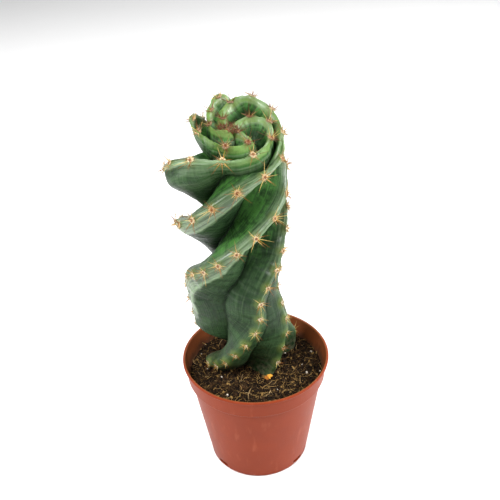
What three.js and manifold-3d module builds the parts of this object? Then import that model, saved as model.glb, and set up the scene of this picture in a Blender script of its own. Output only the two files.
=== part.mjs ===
// A spiral cactus with four twisted ribs, standing in potting mix in a round plastic nursery pot.
// Millimetres, +Z up. The origin is on the surface the pot stands on, in the middle of the whole
// object's outline, so the pot's own axis lies a little to its right.
import * as THREE from "three";
import { ConvexGeometry } from "three/addons/geometries/ConvexGeometry.js";
import { mergeVertices } from "three/addons/utils/BufferGeometryUtils.js";
import Module from "manifold-3d";

const wasm = await Module();
wasm.setup();

// How far the pot's axis lies from the origin, because the plant leans out past the rim
const POT_AXIS_X = 2.75;

// Pot
const POT_HEIGHT = 88;
const POT_SIDES = 64;
const LIP_RADIUS = 52.5;
const BAND_FOOT_Z = 73;
const FLOOR_TOP = 7;
const FOOT_ARCH_HEIGHT = 1.6;
const FOOT_ARCH_ANGLES = [90, 210, 330];
const FOOT_ARCH_SPAN = 40;
const SLOT_OFFSET = 11;
const SLOT_WIDTH = 8.5;
const SLOT_BOTTOM = 2.9;
const SLOT_TOP = 5.6;

// Potting mix
const GAP = 0.35;
const SOIL_LEVEL = 75.5;
const SOIL_RINGS = 11;
const SOIL_SIDES = 44;
const SOIL_ROUGHNESS = 1.1;

// Stem mesh
const RINGS_PER_LEVEL = 3;
const STEM_FOOT_Z = 60;
const DOME_LEVEL = 12;
const DOME_STEP = 0.5;
const DOME_CORE_Z = 232;
const SOIL_HOLE_LEVELS = 3;

// Areoles and spines
const AREOLE_RADIUS = 2.6;
const AREOLE_HEIGHT = 1.2;
const AREOLE_SIDES = 5;
const AREOLE_ROOT = 1.6;
const AREOLE_PITCH_LOW = 13;
const AREOLE_PITCH_HIGH = 19.3;
const AREOLE_PITCH_TOP = 15.5;
const SPINE_RADIUS = 0.5;
const SPINE_ROOT = 1.2;
const SPINE_SPREAD = 1.2;
const SPINES_AROUND = 3;
const SPINE_LENGTH_LOW = 4;
const SPINE_LENGTH_HIGH = 7;
const SEED = 71;

// The stem is described level by level, from below the soil to the growing tip.
// Each level holds the stem's axis, the groove's reach as a share of the ribs' reach, how far
// the crests stand above the grooves, and four crests, each as turn in degrees, reach and height.
const LEVELS = [
  [[-3, 13], 0.36, 0, [100, 18, 60], [165, 28, 60], [278, 26, 60], [378, 32, 60]],
  [[-3, 13], 0.36, 2, [110, 18, 77], [188, 34, 77], [297, 27, 77], [384, 35, 77]],
  [[-4, 11], 0.40, 3, [130, 19, 90], [228, 33, 90], [315, 28, 88], [382, 36, 90]],
  [[-5, 9], 0.45, 4, [172, 29, 104], [252, 33, 105], [328, 30, 104], [386, 31, 104]],
  [[-6, 7], 0.50, 5, [188, 35, 118], [272, 33, 120], [333, 32, 118], [394, 28, 118]],
  [[-7, 5], 0.50, 6, [191, 36, 136], [289, 33, 135], [337, 29.5, 134], [404, 30, 133]],
  [[-8, 3], 0.48, 7, [188, 37, 151], [292, 33, 150], [347, 25.5, 149], [416, 31, 149]],
  [[-9, 2], 0.46, 8, [200, 36, 166], [305, 34, 166], [368, 29, 164], [440, 33, 165]],
  [[-10, 1], 0.42, 9, [234, 35, 180], [324, 35, 180], [396, 33, 180], [475, 35, 180]],
  [[-11, 0], 0.38, 9, [270, 35, 196], [341, 35.5, 195], [424, 35, 195], [518, 37, 196]],
  [[-11, 0], 0.35, 9, [302, 35, 210], [368, 36, 210], [460, 36, 210], [568, 36, 210]],
  [[-11, 0], 0.35, 9, [346, 36, 226], [405, 34, 225], [502, 38, 226], [603, 35, 226]],
  [[-11, 0], 0.38, 9, [376, 36, 242], [443, 34, 241], [542, 41, 243], [640, 35, 242]],
  [[-11, 0], 0.50, 9, [404, 34, 257], [474, 32, 256], [573, 34, 256.5], [676, 35, 249]],
  [[-11, 1], 0.74, 9, [432, 35, 258], [503, 27, 270], [607, 30, 260], [704, 35, 253]],
  [[-11, 2], 0.92, 9, [457, 33, 275], [537, 22.5, 270.5], [633, 29, 259], [728, 33.5, 264]],
  [[-11, 2], 0.96, 8, [480, 21, 273], [580, 20, 269], [672, 28, 260], [760, 32, 272]],
  [[-11, 2], 0.98, 7, [524, 11, 270], [625, 20, 264], [706, 28, 264], [785, 27, 277]],
  [[-11, 2], 1.00, 6, [575, 11, 270], [658, 20, 263], [740, 25, 268], [806, 22, 273]],
  [[-11, 2], 1.00, 4, [612, 9, 269], [688, 14, 264], [762, 17, 268], [822, 13, 270]],
  [[-11, 2], 1.00, 2, [640, 5, 266], [700, 5, 265], [775, 6, 266], [830, 5, 266]],
].map(([axis, groove, lift, ...ribs]) => ({ axis, groove, lift, ribs }));
const TOP_LEVEL = LEVELS.length - 1;

// Each gap runs from the lower side of one rib to the upper side of the next, in the order of the
// crests. Against the level: the shelf below the crest as a share of the lower side, how roundly
// that side falls away beyond it, how roundly the upper side falls, what fills the groove in
// millimetres, where between the crests the groove lies, and how soft its bottom is.
const SHELF = [
  [[4, 0.1], [5, 0.24], [6, 0.3], [7, 0.44], [8, 0.4], [8.6, 0.28], [9.2, 0.12], [13, 0.08], [15, 0]],
  [[4, 0], [20, 0]],
  [[12, 0], [14, 0.35], [16, 0.2], [17, 0]],
  [[8, 0], [9.5, 0.4], [10, 0.42], [11, 0.3], [12, 0.32], [13, 0.18], [14, 0.14], [16, 0]],
];
const LOWER_FALL = [
  [[0, 1.9], [3, 1.6], [5, 0.8], [9, 0.75], [12, 1.0], [14, 1.4], [16, 1.0], [18, 2.2]],
  [[0, 1.9], [3, 1.6], [5, 1.0], [9, 1.3], [11.5, 2.2], [13, 1.0], [16, 1.2], [20, 2.2]],
  [[0, 1.9], [7, 2.6], [9, 2.2], [10.5, 3], [11.2, 4], [11.8, 8], [12.5, 5], [13.5, 2.2], [20, 2.2]],
  [[0, 1.9], [3, 2.2], [7, 2.4], [8, 1.7], [9, 1.5], [10.5, 1.2], [13, 1.0], [15, 2.2], [20, 2.2]],
];
const UPPER_FALL = [
  [[0, 1.6], [2, 1.6], [3.5, 1.2], [4.5, 0.65], [9, 0.65], [11, 1.2], [13, 1], [14, 0.5], [15, 1], [16, 2]],
  [[0, 0.5], [2, 0.55], [4, 0.65], [8, 0.7], [10, 1.25], [12, 1.2], [13, 0.75], [14.5, 0.8], [16, 1.9]],
  [[0, 1.6], [2, 1.6], [5, 1.5], [8, 1.4], [10, 1.25], [13, 1.3], [15, 1.9], [20, 2.2]],
  [[0, 1.6], [2, 1.6], [5, 1.5], [8, 1.4], [10, 1.25], [13, 1.3], [15, 1.9], [20, 2.2]],
];
const FILLING = [
  [[3, 0], [4.5, 5], [6, 6], [8, 5], [9.5, 2], [11, 0], [13, 0], [14, -5], [16, -7], [17, -4], [18, 0]],
  [[1.5, 0], [3, 6], [5, 12], [7, 11], [8.5, 6], [10, 0], [13, -2], [14.2, -12], [15, -10], [17, 0]],
  [[9.5, 0], [10.5, -2], [11.2, -2.5], [12, 0]],
  [[7.4, 0], [8.3, -2.5], [9, -1.5], [9.8, 0], [16, 0], [17, -3], [18, -4], [19, 0]],
];
const GROOVE_PLACE = [
  [[13, 0.5], [15, 0.37], [16, 0.37], [18, 0.5]],
  [[1, 0.5], [3, 0.36], [7, 0.32], [9, 0.5]],
  [[10, 0.5], [11.3, 0.56], [12.5, 0.5], [14, 0.4], [16, 0.5]],
  [[0, 0.5], [20, 0.5]],
];
const GROOVE_SOFTNESS = [
  [[0, 1.2], [4, 1.0], [8, 1.0], [10, 1.3], [13, 1.3], [20, 1]],
  [[0, 1.3], [3, 1.1], [9, 1.1], [12, 1.3], [20, 1]],
  [[0, 1.3], [13, 1.3], [20, 1]],
  [[0, 1.3], [9, 1.6], [13, 1.6], [20, 1]],
];
const SHELF_DROP = 0.09;
const FULL_SHELF = 0.2;

// The folds of the crown: how steeply and how far its skin sinks away from the crests
const FOLD_SLOPE = 2.1;
const FOLD_ROUNDING = 3.2;
const FOLD_DEPTH = 9;
const FOLD_START = 13.4;
const FOLD_END = 14.8;

// How far inside the edge of a free fin its areoles stand, against the level
const AREOLE_INSET = [
  [[13.6, 0], [14.6, 3.5], [16, 2.5], [17, 0]],
  [[13, 0], [14, 3.5], [15.4, 3.5], [16.6, 0]],
  [[0, 0], [20, 0]],
  [[0, 0], [20, 0]],
];

// Where points lie across one rib and groove, from one crest (0) to the next (1)
const STATIONS = [0, 0.16, 0.3, 0.41, 0.5, 0.6, 0.74, 0.88];

// Distance along each crest from the soil to its first areole
const FIRST_AREOLE = [61, 13.5, 13.5, 14];
const SOIL_CLEARANCE = 2;

const radians = (degrees) => (degrees * Math.PI) / 180;
const mix = (a, b, t) => a + (b - a) * t;

// Seeded random numbers between 0 and 1
function randomSource(seed) {
  let state = seed >>> 0;
  return () => {
    state = (state + 0x6d2b79f5) >>> 0;
    let value = Math.imul(state ^ (state >>> 15), 1 | state);
    value = (value + Math.imul(value ^ (value >>> 7), 61 | value)) ^ value;
    return ((value ^ (value >>> 14)) >>> 0) / 4294967296;
  };
}

// Value of a curve given by [position, value] corners
function ramp(corners, x) {
  if (x <= corners[0][0]) return corners[0][1];
  for (let i = 1; i < corners.length; i += 1) {
    const [x0, y0] = corners[i - 1];
    const [x1, y1] = corners[i];
    if (x <= x1) return mix(y0, y1, (x - x0) / (x1 - x0));
  }
  return corners[corners.length - 1][1];
}

// Smooth curve through values at whole levels, which never overshoots them
function smoothAt(values, level) {
  const last = values.length - 1;
  const i = Math.min(Math.floor(level), last - 1);
  const t = level - i;
  const slope = (j) => {
    if (j <= 0) return values[1] - values[0];
    if (j >= last) return values[last] - values[last - 1];
    const before = values[j] - values[j - 1];
    const after = values[j + 1] - values[j];
    return before * after <= 0 ? 0 : (2 * before * after) / (before + after);
  };
  const start = i === 0 ? values[1] - values[0] : slope(i);
  const end = i === last - 1 ? values[last] - values[last - 1] : slope(i + 1);
  const t2 = t * t;
  const t3 = t2 * t;
  return values[i] * (2 * t3 - 3 * t2 + 1) + start * (t3 - 2 * t2 + t)
    + values[i + 1] * (3 * t2 - 2 * t3) + end * (t3 - t2);
}

// The stem's measures at any level
function section(level) {
  const read = (pick) => smoothAt(LEVELS.map(pick), level);
  const ribs = [0, 1, 2, 3].map((k) => ({
    turn: read((row) => row.ribs[k][0]),
    reach: read((row) => row.ribs[k][1]),
    height: read((row) => row.ribs[k][2]),
  }));
  return {
    x: read((row) => row.axis[0]),
    y: read((row) => row.axis[1]),
    groove: read((row) => row.groove),
    lift: read((row) => row.lift),
    ribs,
  };
}

// How far the lower side of rib k stands out, from 1 at its crest (t = 0) to 0 in the groove (t = 1)
function lowerShare(k, level, t) {
  const shelf = Math.max(1e-4, ramp(SHELF[k], level));
  const drop = SHELF_DROP * Math.min(1, shelf / FULL_SHELF);
  if (t <= shelf) return 1 - drop * (t / shelf) ** 2;
  return (1 - drop) * (1 - ((t - shelf) / (1 - shelf)) ** ramp(LOWER_FALL[k], level));
}

// Point in the gap after rib k, at a station from 0 to 1 with the groove at one half
function gapPoint(cut, k, level, station, extra = 0) {
  const here = cut.ribs[k];
  const next = cut.ribs[(k + 1) % 4];
  const nextTurn = k === 3 ? next.turn + 360 : next.turn;
  const place = ramp(GROOVE_PLACE[k], level);
  const grooveReach = cut.groove * 0.5 * (here.reach + next.reach) + ramp(FILLING[k], level);
  const grooveZ = 0.5 * (here.height + next.height) - cut.lift;
  const onHere = station <= 0.5;
  const side = onHere ? here : next;
  const s = onHere ? station * 2 * place : 1 - (1 - station) * 2 * (1 - place);
  const lower = () => lowerShare(k, level, 2 * station);
  const upper = () => 1 - (2 * (1 - station)) ** ramp(UPPER_FALL[k], level);
  const share = (onHere ? lower() : upper()) ** ramp(GROOVE_SOFTNESS[k], level);
  const reach = mix(grooveReach, side.reach, share) + extra;
  const turn = radians(mix(here.turn, nextTurn, s));
  return [cut.x + reach * Math.cos(turn), cut.y + reach * Math.sin(turn), mix(grooveZ, side.height, share)];
}

// One closed ring of the stem's skin, widened by `extra`
function stemRing(level, extra = 0) {
  const cut = section(level);
  return [0, 1, 2, 3].flatMap((k) => STATIONS.map((station) => gapPoint(cut, k, level, station, extra)));
}

// A ring of the crown, sunk between the crests, so that the ribs stand as fins round the tip
function crownRing(level) {
  const fade = THREE.MathUtils.clamp((level - FOLD_START) / (FOLD_END - FOLD_START), 0, 1);
  return stemRing(level).map(([x, y, z]) => {
    const away = Math.min(...CROWN_CRESTS.map(([cx, cy, cz]) => Math.hypot(x - cx, y - cy, z - cz)));
    const sink = FOLD_SLOPE * (Math.hypot(away, FOLD_ROUNDING) - FOLD_ROUNDING);
    return [x, y, z - fade * FOLD_DEPTH * Math.tanh(sink / FOLD_DEPTH)];
  });
}

// Solid from rings of equal count, closed by a fan at each end
function solidFromRings(rings, bottomPoint, topPoint) {
  const count = rings[0].length;
  const positions = rings.flat(2);
  const bottom = rings.length * count;
  positions.push(...bottomPoint, ...topPoint);
  const index = [];
  for (let j = 0; j < count; j += 1) {
    const next = (j + 1) % count;
    index.push(bottom, next, j);
    for (let i = 0; i + 1 < rings.length; i += 1) {
      const a = i * count + j;
      const b = i * count + next;
      const c = (i + 1) * count + next;
      const d = (i + 1) * count + j;
      index.push(a, b, c, a, c, d);
    }
    const start = (rings.length - 1) * count;
    index.push(start + j, start + next, bottom + 1);
  }
  return toManifold(new Float32Array(positions), new Uint32Array(index));
}

function toManifold(vertProperties, triVerts) {
  const mesh = new wasm.Mesh({ numProp: 3, vertProperties, triVerts });
  return new wasm.Manifold(mesh);
}

// Closed three.js geometry, with its shared vertices merged, as a solid
function geometryToManifold(geometry) {
  const bare = new THREE.BufferGeometry();
  const source = geometry.index ? geometry.toNonIndexed() : geometry;
  bare.setAttribute("position", source.getAttribute("position").clone());
  const merged = mergeVertices(bare, 1e-4);
  const positions = new Float32Array(merged.getAttribute("position").array);
  return toManifold(positions, new Uint32Array(merged.index.array));
}

function manifoldToGeometry(solid) {
  const { vertProperties, triVerts, numProp } = solid.getMesh();
  const positions = new Float32Array((vertProperties.length / numProp) * 3);
  for (let i = 0; i < positions.length / 3; i += 1) {
    positions.set(vertProperties.subarray(i * numProp, i * numProp + 3), i * 3);
  }
  const geometry = new THREE.BufferGeometry();
  geometry.setAttribute("position", new THREE.BufferAttribute(positions, 3));
  geometry.setIndex(new THREE.BufferAttribute(new Uint32Array(triVerts), 1));
  geometry.computeVertexNormals();
  return geometry;
}

// Turned solid about +Z from an outline of [radius, height] points
function turned(outline, sides) {
  const profile = [...outline, outline[0]].map(([r, z]) => new THREE.Vector2(r, z));
  const geometry = new THREE.LatheGeometry(profile, sides);
  geometry.rotateX(Math.PI / 2);
  return geometryToManifold(geometry);
}

// Box with one side towards the pot's axis, placed by its radii, heights, width and angle
function radialBox(innerRadius, outerRadius, bottom, top, width, angle) {
  const box = new THREE.BoxGeometry(outerRadius - innerRadius, width, top - bottom);
  box.translate((innerRadius + outerRadius) / 2, 0, (bottom + top) / 2);
  box.rotateZ(radians(angle));
  return geometryToManifold(box);
}

// Ring sector that cuts one low arch into the pot's foot
function footArch(angle) {
  const half = radians(FOOT_ARCH_SPAN / 2);
  const shape = new THREE.Shape();
  shape.absarc(0, 0, 39, -half, half, false);
  shape.absarc(0, 0, 31, half, -half, true);
  const geometry = new THREE.ExtrudeGeometry(shape, {
    depth: FOOT_ARCH_HEIGHT + 1,
    bevelEnabled: false,
    curveSegments: 10,
  });
  geometry.translate(0, 0, -1);
  geometry.rotateZ(radians(angle));
  return geometryToManifold(geometry);
}

// Radius of the pot's inner wall
const INNER_WALL = [[FLOOR_TOP, 34.2], [8.5, 35.4], [BAND_FOOT_Z - 2, 46.3], [75.5, 48.7], [87, 50.6]];
const innerWallRadius = (z) => ramp(INNER_WALL, z);

function makePot() {
  const outline = [
    [0, 5], [32.4, 5], [33.2, 4.2], [33.2, 0], [35.2, 0], [36.1, 1.2],
    [36.8, 6], [47.5, BAND_FOOT_Z - 1.6], [49.7, BAND_FOOT_Z], [51.1, 85.6],
    [LIP_RADIUS - 0.3, 86.1], [LIP_RADIUS, 86.6], [LIP_RADIUS, 87.6], [LIP_RADIUS - 0.4, POT_HEIGHT],
    [51, POT_HEIGHT], [50.6, 87.6],
    [48.7, 75.5], [46.3, BAND_FOOT_Z - 2], [35.4, 8.5], [34.2, FLOOR_TOP],
    [0, FLOOR_TOP],
  ];
  let pot = turned(outline, POT_SIDES);
  for (const angle of FOOT_ARCH_ANGLES) {
    pot = pot.subtract(footArch(angle));
    for (const side of [-1, 1]) {
      const at = angle + side * SLOT_OFFSET;
      pot = pot.subtract(radialBox(31, 39, SLOT_BOTTOM, SLOT_TOP, SLOT_WIDTH, at));
      pot = pot.subtract(radialBox(29, 33.4, SLOT_BOTTOM, FLOOR_TOP + 1, SLOT_WIDTH, at));
    }
  }
  return pot;
}

// The stem's foot, widened by the gap, which leaves a plain hole in the potting mix
function makeFootTool() {
  const rings = [];
  for (let i = 0; i <= SOIL_HOLE_LEVELS * RINGS_PER_LEVEL; i += 1) {
    rings.push(stemRing(i / RINGS_PER_LEVEL, GAP + 0.1));
  }
  rings[0] = rings[0].map(([x, y]) => [x, y, STEM_FOOT_Z - GAP]);
  const { x, y } = section(SOIL_HOLE_LEVELS);
  const topZ = LEVELS[SOIL_HOLE_LEVELS].ribs[0][2];
  return solidFromRings(rings, [...LEVELS[0].axis, STEM_FOOT_Z - GAP], [x, y, topZ]);
}

function makeSoil() {
  const random = randomSource(SEED);
  const rings = [];
  const floor = FLOOR_TOP + GAP;
  const edge = (z) => innerWallRadius(z) - GAP - 0.15;
  const circle = (radius, heightAt) => Array.from({ length: SOIL_SIDES }, (_, j) => {
    const turn = radians((360 * j) / SOIL_SIDES);
    return [radius * Math.cos(turn), radius * Math.sin(turn), heightAt()];
  });
  rings.push(circle(edge(floor) - 0.3, () => floor));
  rings.push(circle(edge(8.5 + GAP) - 0.1, () => 8.5 + GAP));
  rings.push(circle(edge(BAND_FOOT_Z - 2), () => BAND_FOOT_Z - 2));
  for (let i = 0; i < SOIL_RINGS; i += 1) {
    const radius = edge(SOIL_LEVEL - 2.5) * (1 - i / SOIL_RINGS);
    const settle = i === 0 ? 1.6 : 0;
    rings.push(circle(radius, () => SOIL_LEVEL - settle + (random() - 0.5) * 2 * SOIL_ROUGHNESS));
  }
  return solidFromRings(rings, [0, 0, floor], [0, 0, SOIL_LEVEL]).subtract(makeFootTool());
}

// The trunk: all levels below the dome, closed at the top by a fan that dips to the dome's core
function makeTrunk() {
  const rings = [];
  for (let i = 0; i <= DOME_LEVEL * RINGS_PER_LEVEL; i += 1) {
    rings.push(stemRing(i / RINGS_PER_LEVEL));
  }
  const foot = LEVELS[0].axis;
  const core = LEVELS[DOME_LEVEL].axis;
  return solidFromRings(rings, [...foot, STEM_FOOT_Z], [...core, DOME_CORE_Z]);
}

// The part of a ring that belongs to rib k, from the groove before it to the groove after it
function ribProfile(ring, k) {
  const count = STATIONS.length;
  const half = STATIONS.indexOf(0.5);
  const start = (k + 3) % 4 * count + half;
  return Array.from({ length: count + 1 }, (_, j) => ring[(start + j) % ring.length]);
}

// Convex solid around points
function wedge(points) {
  return geometryToManifold(new ConvexGeometry(points.map((point) => new THREE.Vector3(...point))));
}

// The dome: each rib rolls over into the tip as a row of rounded wedges that all meet at its core
function makeDome() {
  const core = [...LEVELS[DOME_LEVEL].axis, DOME_CORE_Z];
  const wedges = [wedge([...crownRing(TOP_LEVEL), core])];
  for (let level = DOME_LEVEL; level < TOP_LEVEL; level += DOME_STEP) {
    const lower = crownRing(level);
    const upper = crownRing(level + DOME_STEP);
    for (let k = 0; k < 4; k += 1) {
      wedges.push(wedge([...ribProfile(lower, k), ...ribProfile(upper, k), core]));
    }
  }
  return wedges;
}

// A point on a crest
function crestPoint(k, level) {
  const cut = section(level);
  const rib = cut.ribs[k];
  const turn = radians(rib.turn);
  return {
    place: new THREE.Vector3(Math.cos(turn), Math.sin(turn), 0)
      .multiplyScalar(rib.reach)
      .add(new THREE.Vector3(cut.x, cut.y, rib.height)),
    out: new THREE.Vector3(Math.cos(turn), Math.sin(turn), 0),
  };
}

// Points along the four crests round the crown
const CROWN_CRESTS = [0, 1, 2, 3].flatMap((k) => Array.from({ length: 76 }, (_, i) => (
  crestPoint(k, TOP_LEVEL - i / 10).place.toArray()
)));

// Where an areole stands: on the crest, or a little inside the edge of a free fin
function areolePlace(k, level) {
  const { place } = crestPoint(k, level);
  const inset = ramp(AREOLE_INSET[k], level);
  if (inset === 0) return place;
  const inner = new THREE.Vector3(...gapPoint(section(level), (k + 3) % 4, level, 0.85));
  return place.clone().add(inner.sub(place).setLength(inset));
}

// How far an areole looks upward, in degrees, against the level
const AREOLE_RISE = [[0, 0], [7, 8], [12, 18], [14, 35], [16, 52], [18, 66], [20, 82]];

// Areoles stand along each crest, close together low down and further apart above
function areolePlaces() {
  const places = [];
  const steps = 40;
  for (let k = 0; k < 4; k += 1) {
    let travelled = 0;
    let next = FIRST_AREOLE[k];
    let before = null;
    for (let i = 0; i <= TOP_LEVEL * steps; i += 1) {
      const level = i / steps;
      const { place, out } = crestPoint(k, level);
      if (place.z > SOIL_LEVEL && before) {
        travelled += place.distanceTo(before);
        if (travelled >= next) {
          const rise = radians(ramp(AREOLE_RISE, level));
          const facing = out.clone().multiplyScalar(Math.cos(rise)).setZ(Math.sin(rise));
          places.push({ place: areolePlace(k, level), facing, travelled });
          const widening = THREE.MathUtils.clamp((travelled - 125) / 90, 0, 1);
          const pitch = mix(AREOLE_PITCH_LOW, AREOLE_PITCH_HIGH, widening);
          next += travelled > 315 ? AREOLE_PITCH_TOP : pitch;
        }
      }
      before = place;
    }
  }
  return places;
}

// A closed cone of few sides, its root sunk along its own direction
function needle(root, direction, radius, length, sunk, sides, spin) {
  const across = new THREE.Vector3().crossVectors(direction, new THREE.Vector3(0.3, 0.2, 0.93)).normalize();
  const up = new THREE.Vector3().crossVectors(direction, across);
  const base = root.clone().addScaledVector(direction, -sunk);
  const ring = Array.from({ length: sides }, (_, j) => {
    const turn = spin + radians((360 * j) / sides);
    return base.clone()
      .addScaledVector(across, radius * Math.cos(turn))
      .addScaledVector(up, radius * Math.sin(turn))
      .toArray();
  });
  return solidFromRings([ring], base.toArray(), root.clone().addScaledVector(direction, length).toArray());
}

function makeCactus() {
  const random = randomSource(SEED);
  const solids = [makeTrunk(), ...makeDome()];
  for (const { place, facing, travelled } of areolePlaces()) {
    solids.push(needle(place, facing, AREOLE_RADIUS, AREOLE_HEIGHT, AREOLE_ROOT, AREOLE_SIDES, random()));
    const across = new THREE.Vector3().crossVectors(facing, new THREE.Vector3(0, 0, 1)).normalize();
    const up = new THREE.Vector3().crossVectors(across, facing);
    const grown = THREE.MathUtils.clamp((travelled - 60) / 120, 0, 1);
    const reach = mix(SPINE_LENGTH_LOW, SPINE_LENGTH_HIGH, grown);
    const startTurn = random() * 360;
    for (let i = 0; i <= SPINES_AROUND; i += 1) {
      const turn = radians(startTurn + (360 * i) / SPINES_AROUND + (random() - 0.5) * 40);
      const lean = i === SPINES_AROUND ? radians(15 * random()) : radians(48 + 16 * random());
      const outward = across.clone().multiplyScalar(Math.cos(turn)).addScaledVector(up, Math.sin(turn));
      const direction = facing.clone().multiplyScalar(Math.cos(lean))
        .addScaledVector(outward, Math.sin(lean));
      const root = place.clone().addScaledVector(outward, i === SPINES_AROUND ? 0 : SPINE_SPREAD);
      const length = reach * (0.75 + 0.4 * random());
      const spin = random() * 6;
      if (root.z + length * direction.z < SOIL_LEVEL + SOIL_CLEARANCE) continue;
      solids.push(needle(root, direction, SPINE_RADIUS, length, SPINE_ROOT, 3, spin));
    }
  }
  return wasm.Manifold.union(solids);
}

function addPiece(group, name, solid, material) {
  const mesh = new THREE.Mesh(manifoldToGeometry(solid), new THREE.MeshStandardMaterial(material));
  mesh.name = name;
  group.add(mesh);
}

const group = new THREE.Group();
group.position.x = POT_AXIS_X;
addPiece(group, "pot", makePot(), { color: 0xc25f3f, roughness: 0.5, metalness: 0 });
addPiece(group, "soil", makeSoil(), { color: 0x3d2e24, roughness: 0.95, metalness: 0 });
addPiece(group, "cactus", makeCactus(), { color: 0x3f6b4c, roughness: 0.6, metalness: 0 });

export default group;
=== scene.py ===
# Spiral cactus in a nursery pot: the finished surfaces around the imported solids, and their stage.
# Shapes are worked out in millimetres from the pot's axis and become metres when a mesh is made.

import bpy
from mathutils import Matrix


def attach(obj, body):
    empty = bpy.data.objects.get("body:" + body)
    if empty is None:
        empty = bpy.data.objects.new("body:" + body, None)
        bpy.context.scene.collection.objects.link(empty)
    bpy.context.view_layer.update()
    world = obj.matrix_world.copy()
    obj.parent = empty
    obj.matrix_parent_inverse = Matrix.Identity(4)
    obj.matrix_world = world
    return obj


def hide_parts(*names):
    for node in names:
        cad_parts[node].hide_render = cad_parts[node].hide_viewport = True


bl_info = {
    "name": "Potted spiral cactus",
    "version": (1, 0, 0),
    "blender": (4, 5, 0),
    "location": "3D Viewport > Sidebar > Cactus",
    "description": "Builds a four-ribbed spiral cactus in a round nursery pot, with its stage",
    "category": "Add Mesh",
}

import math
import random

import bmesh
import bpy
import numpy as np
from bpy.props import FloatProperty, FloatVectorProperty, IntProperty, PointerProperty
from mathutils import Matrix, Vector, noise
from mathutils.kdtree import KDTree

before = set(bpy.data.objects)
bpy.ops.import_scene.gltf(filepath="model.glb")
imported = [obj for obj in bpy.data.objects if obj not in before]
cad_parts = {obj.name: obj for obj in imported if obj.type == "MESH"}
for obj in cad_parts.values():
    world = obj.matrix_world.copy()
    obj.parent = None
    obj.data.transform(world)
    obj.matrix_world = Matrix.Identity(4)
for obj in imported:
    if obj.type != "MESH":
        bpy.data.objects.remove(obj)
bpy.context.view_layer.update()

MM = 0.001
DECIMETRE = 0.01
POT_AXIS_X = 2.75
SOIL_LEVEL = 75.5
STEM_FOOT_Z = 60.0
TIP_Z = 265.6

# The stem level by level, from below the soil to the growing tip: the axis, the groove's reach as
# a share of the ribs' reach, how far the crests stand above the grooves, and four crests, each as
# turn in degrees, reach and height.
LEVELS = (
    ((-3, 13), 0.36, 0, ((100, 18, 60), (165, 28, 60), (278, 26, 60), (378, 32, 60))),
    ((-3, 13), 0.36, 2, ((110, 18, 77), (188, 34, 77), (297, 27, 77), (384, 35, 77))),
    ((-4, 11), 0.40, 3, ((130, 19, 90), (228, 33, 90), (315, 28, 88), (382, 36, 90))),
    ((-5, 9), 0.45, 4, ((172, 29, 104), (252, 33, 105), (328, 30, 104), (386, 31, 104))),
    ((-6, 7), 0.50, 5, ((188, 35, 118), (272, 33, 120), (333, 32, 118), (394, 28, 118))),
    ((-7, 5), 0.50, 6, ((191, 36, 136), (289, 33, 135), (337, 29.5, 134), (404, 30, 133))),
    ((-8, 3), 0.48, 7, ((188, 37, 151), (292, 33, 150), (347, 25.5, 149), (416, 31, 149))),
    ((-9, 2), 0.46, 8, ((200, 36, 166), (305, 34, 166), (368, 29, 164), (440, 33, 165))),
    ((-10, 1), 0.42, 9, ((234, 35, 180), (324, 35, 180), (396, 33, 180), (475, 35, 180))),
    ((-11, 0), 0.38, 9, ((270, 35, 196), (341, 35.5, 195), (424, 35, 195), (518, 37, 196))),
    ((-11, 0), 0.35, 9, ((302, 35, 210), (368, 36, 210), (460, 36, 210), (568, 36, 210))),
    ((-11, 0), 0.35, 9, ((346, 36, 226), (405, 34, 225), (502, 38, 226), (603, 35, 226))),
    ((-11, 0), 0.38, 9, ((376, 36, 242), (443, 34, 241), (542, 41, 243), (640, 35, 242))),
    ((-11, 0), 0.50, 9, ((404, 34, 257), (474, 32, 256), (573, 34, 256.5), (676, 35, 249))),
    ((-11, 1), 0.74, 9, ((432, 35, 258), (503, 27, 270), (607, 30, 260), (704, 35, 253))),
    ((-11, 2), 0.92, 9, ((457, 33, 275), (537, 22.5, 270.5), (633, 29, 259), (728, 33.5, 264))),
    ((-11, 2), 0.96, 8, ((480, 21, 273), (580, 20, 269), (672, 28, 260), (760, 32, 272))),
    ((-11, 2), 0.98, 7, ((524, 11, 270), (625, 20, 264), (706, 28, 264), (785, 27, 277))),
    ((-11, 2), 1.00, 6, ((575, 11, 270), (658, 20, 263), (740, 25, 268), (806, 22, 273))),
    ((-11, 2), 1.00, 4, ((612, 9, 269), (688, 14, 264), (762, 17, 268), (822, 13, 270))),
    ((-11, 2), 1.00, 2, ((640, 5, 266), (700, 5, 265), (775, 6, 266), (830, 5, 266))),
)
TOP_LEVEL = len(LEVELS) - 1
TABLE = np.array(
    [[*axis, share, lift, *(v for crest in crests for v in crest)] for axis, share, lift, crests in LEVELS],
    float,
)

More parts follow.
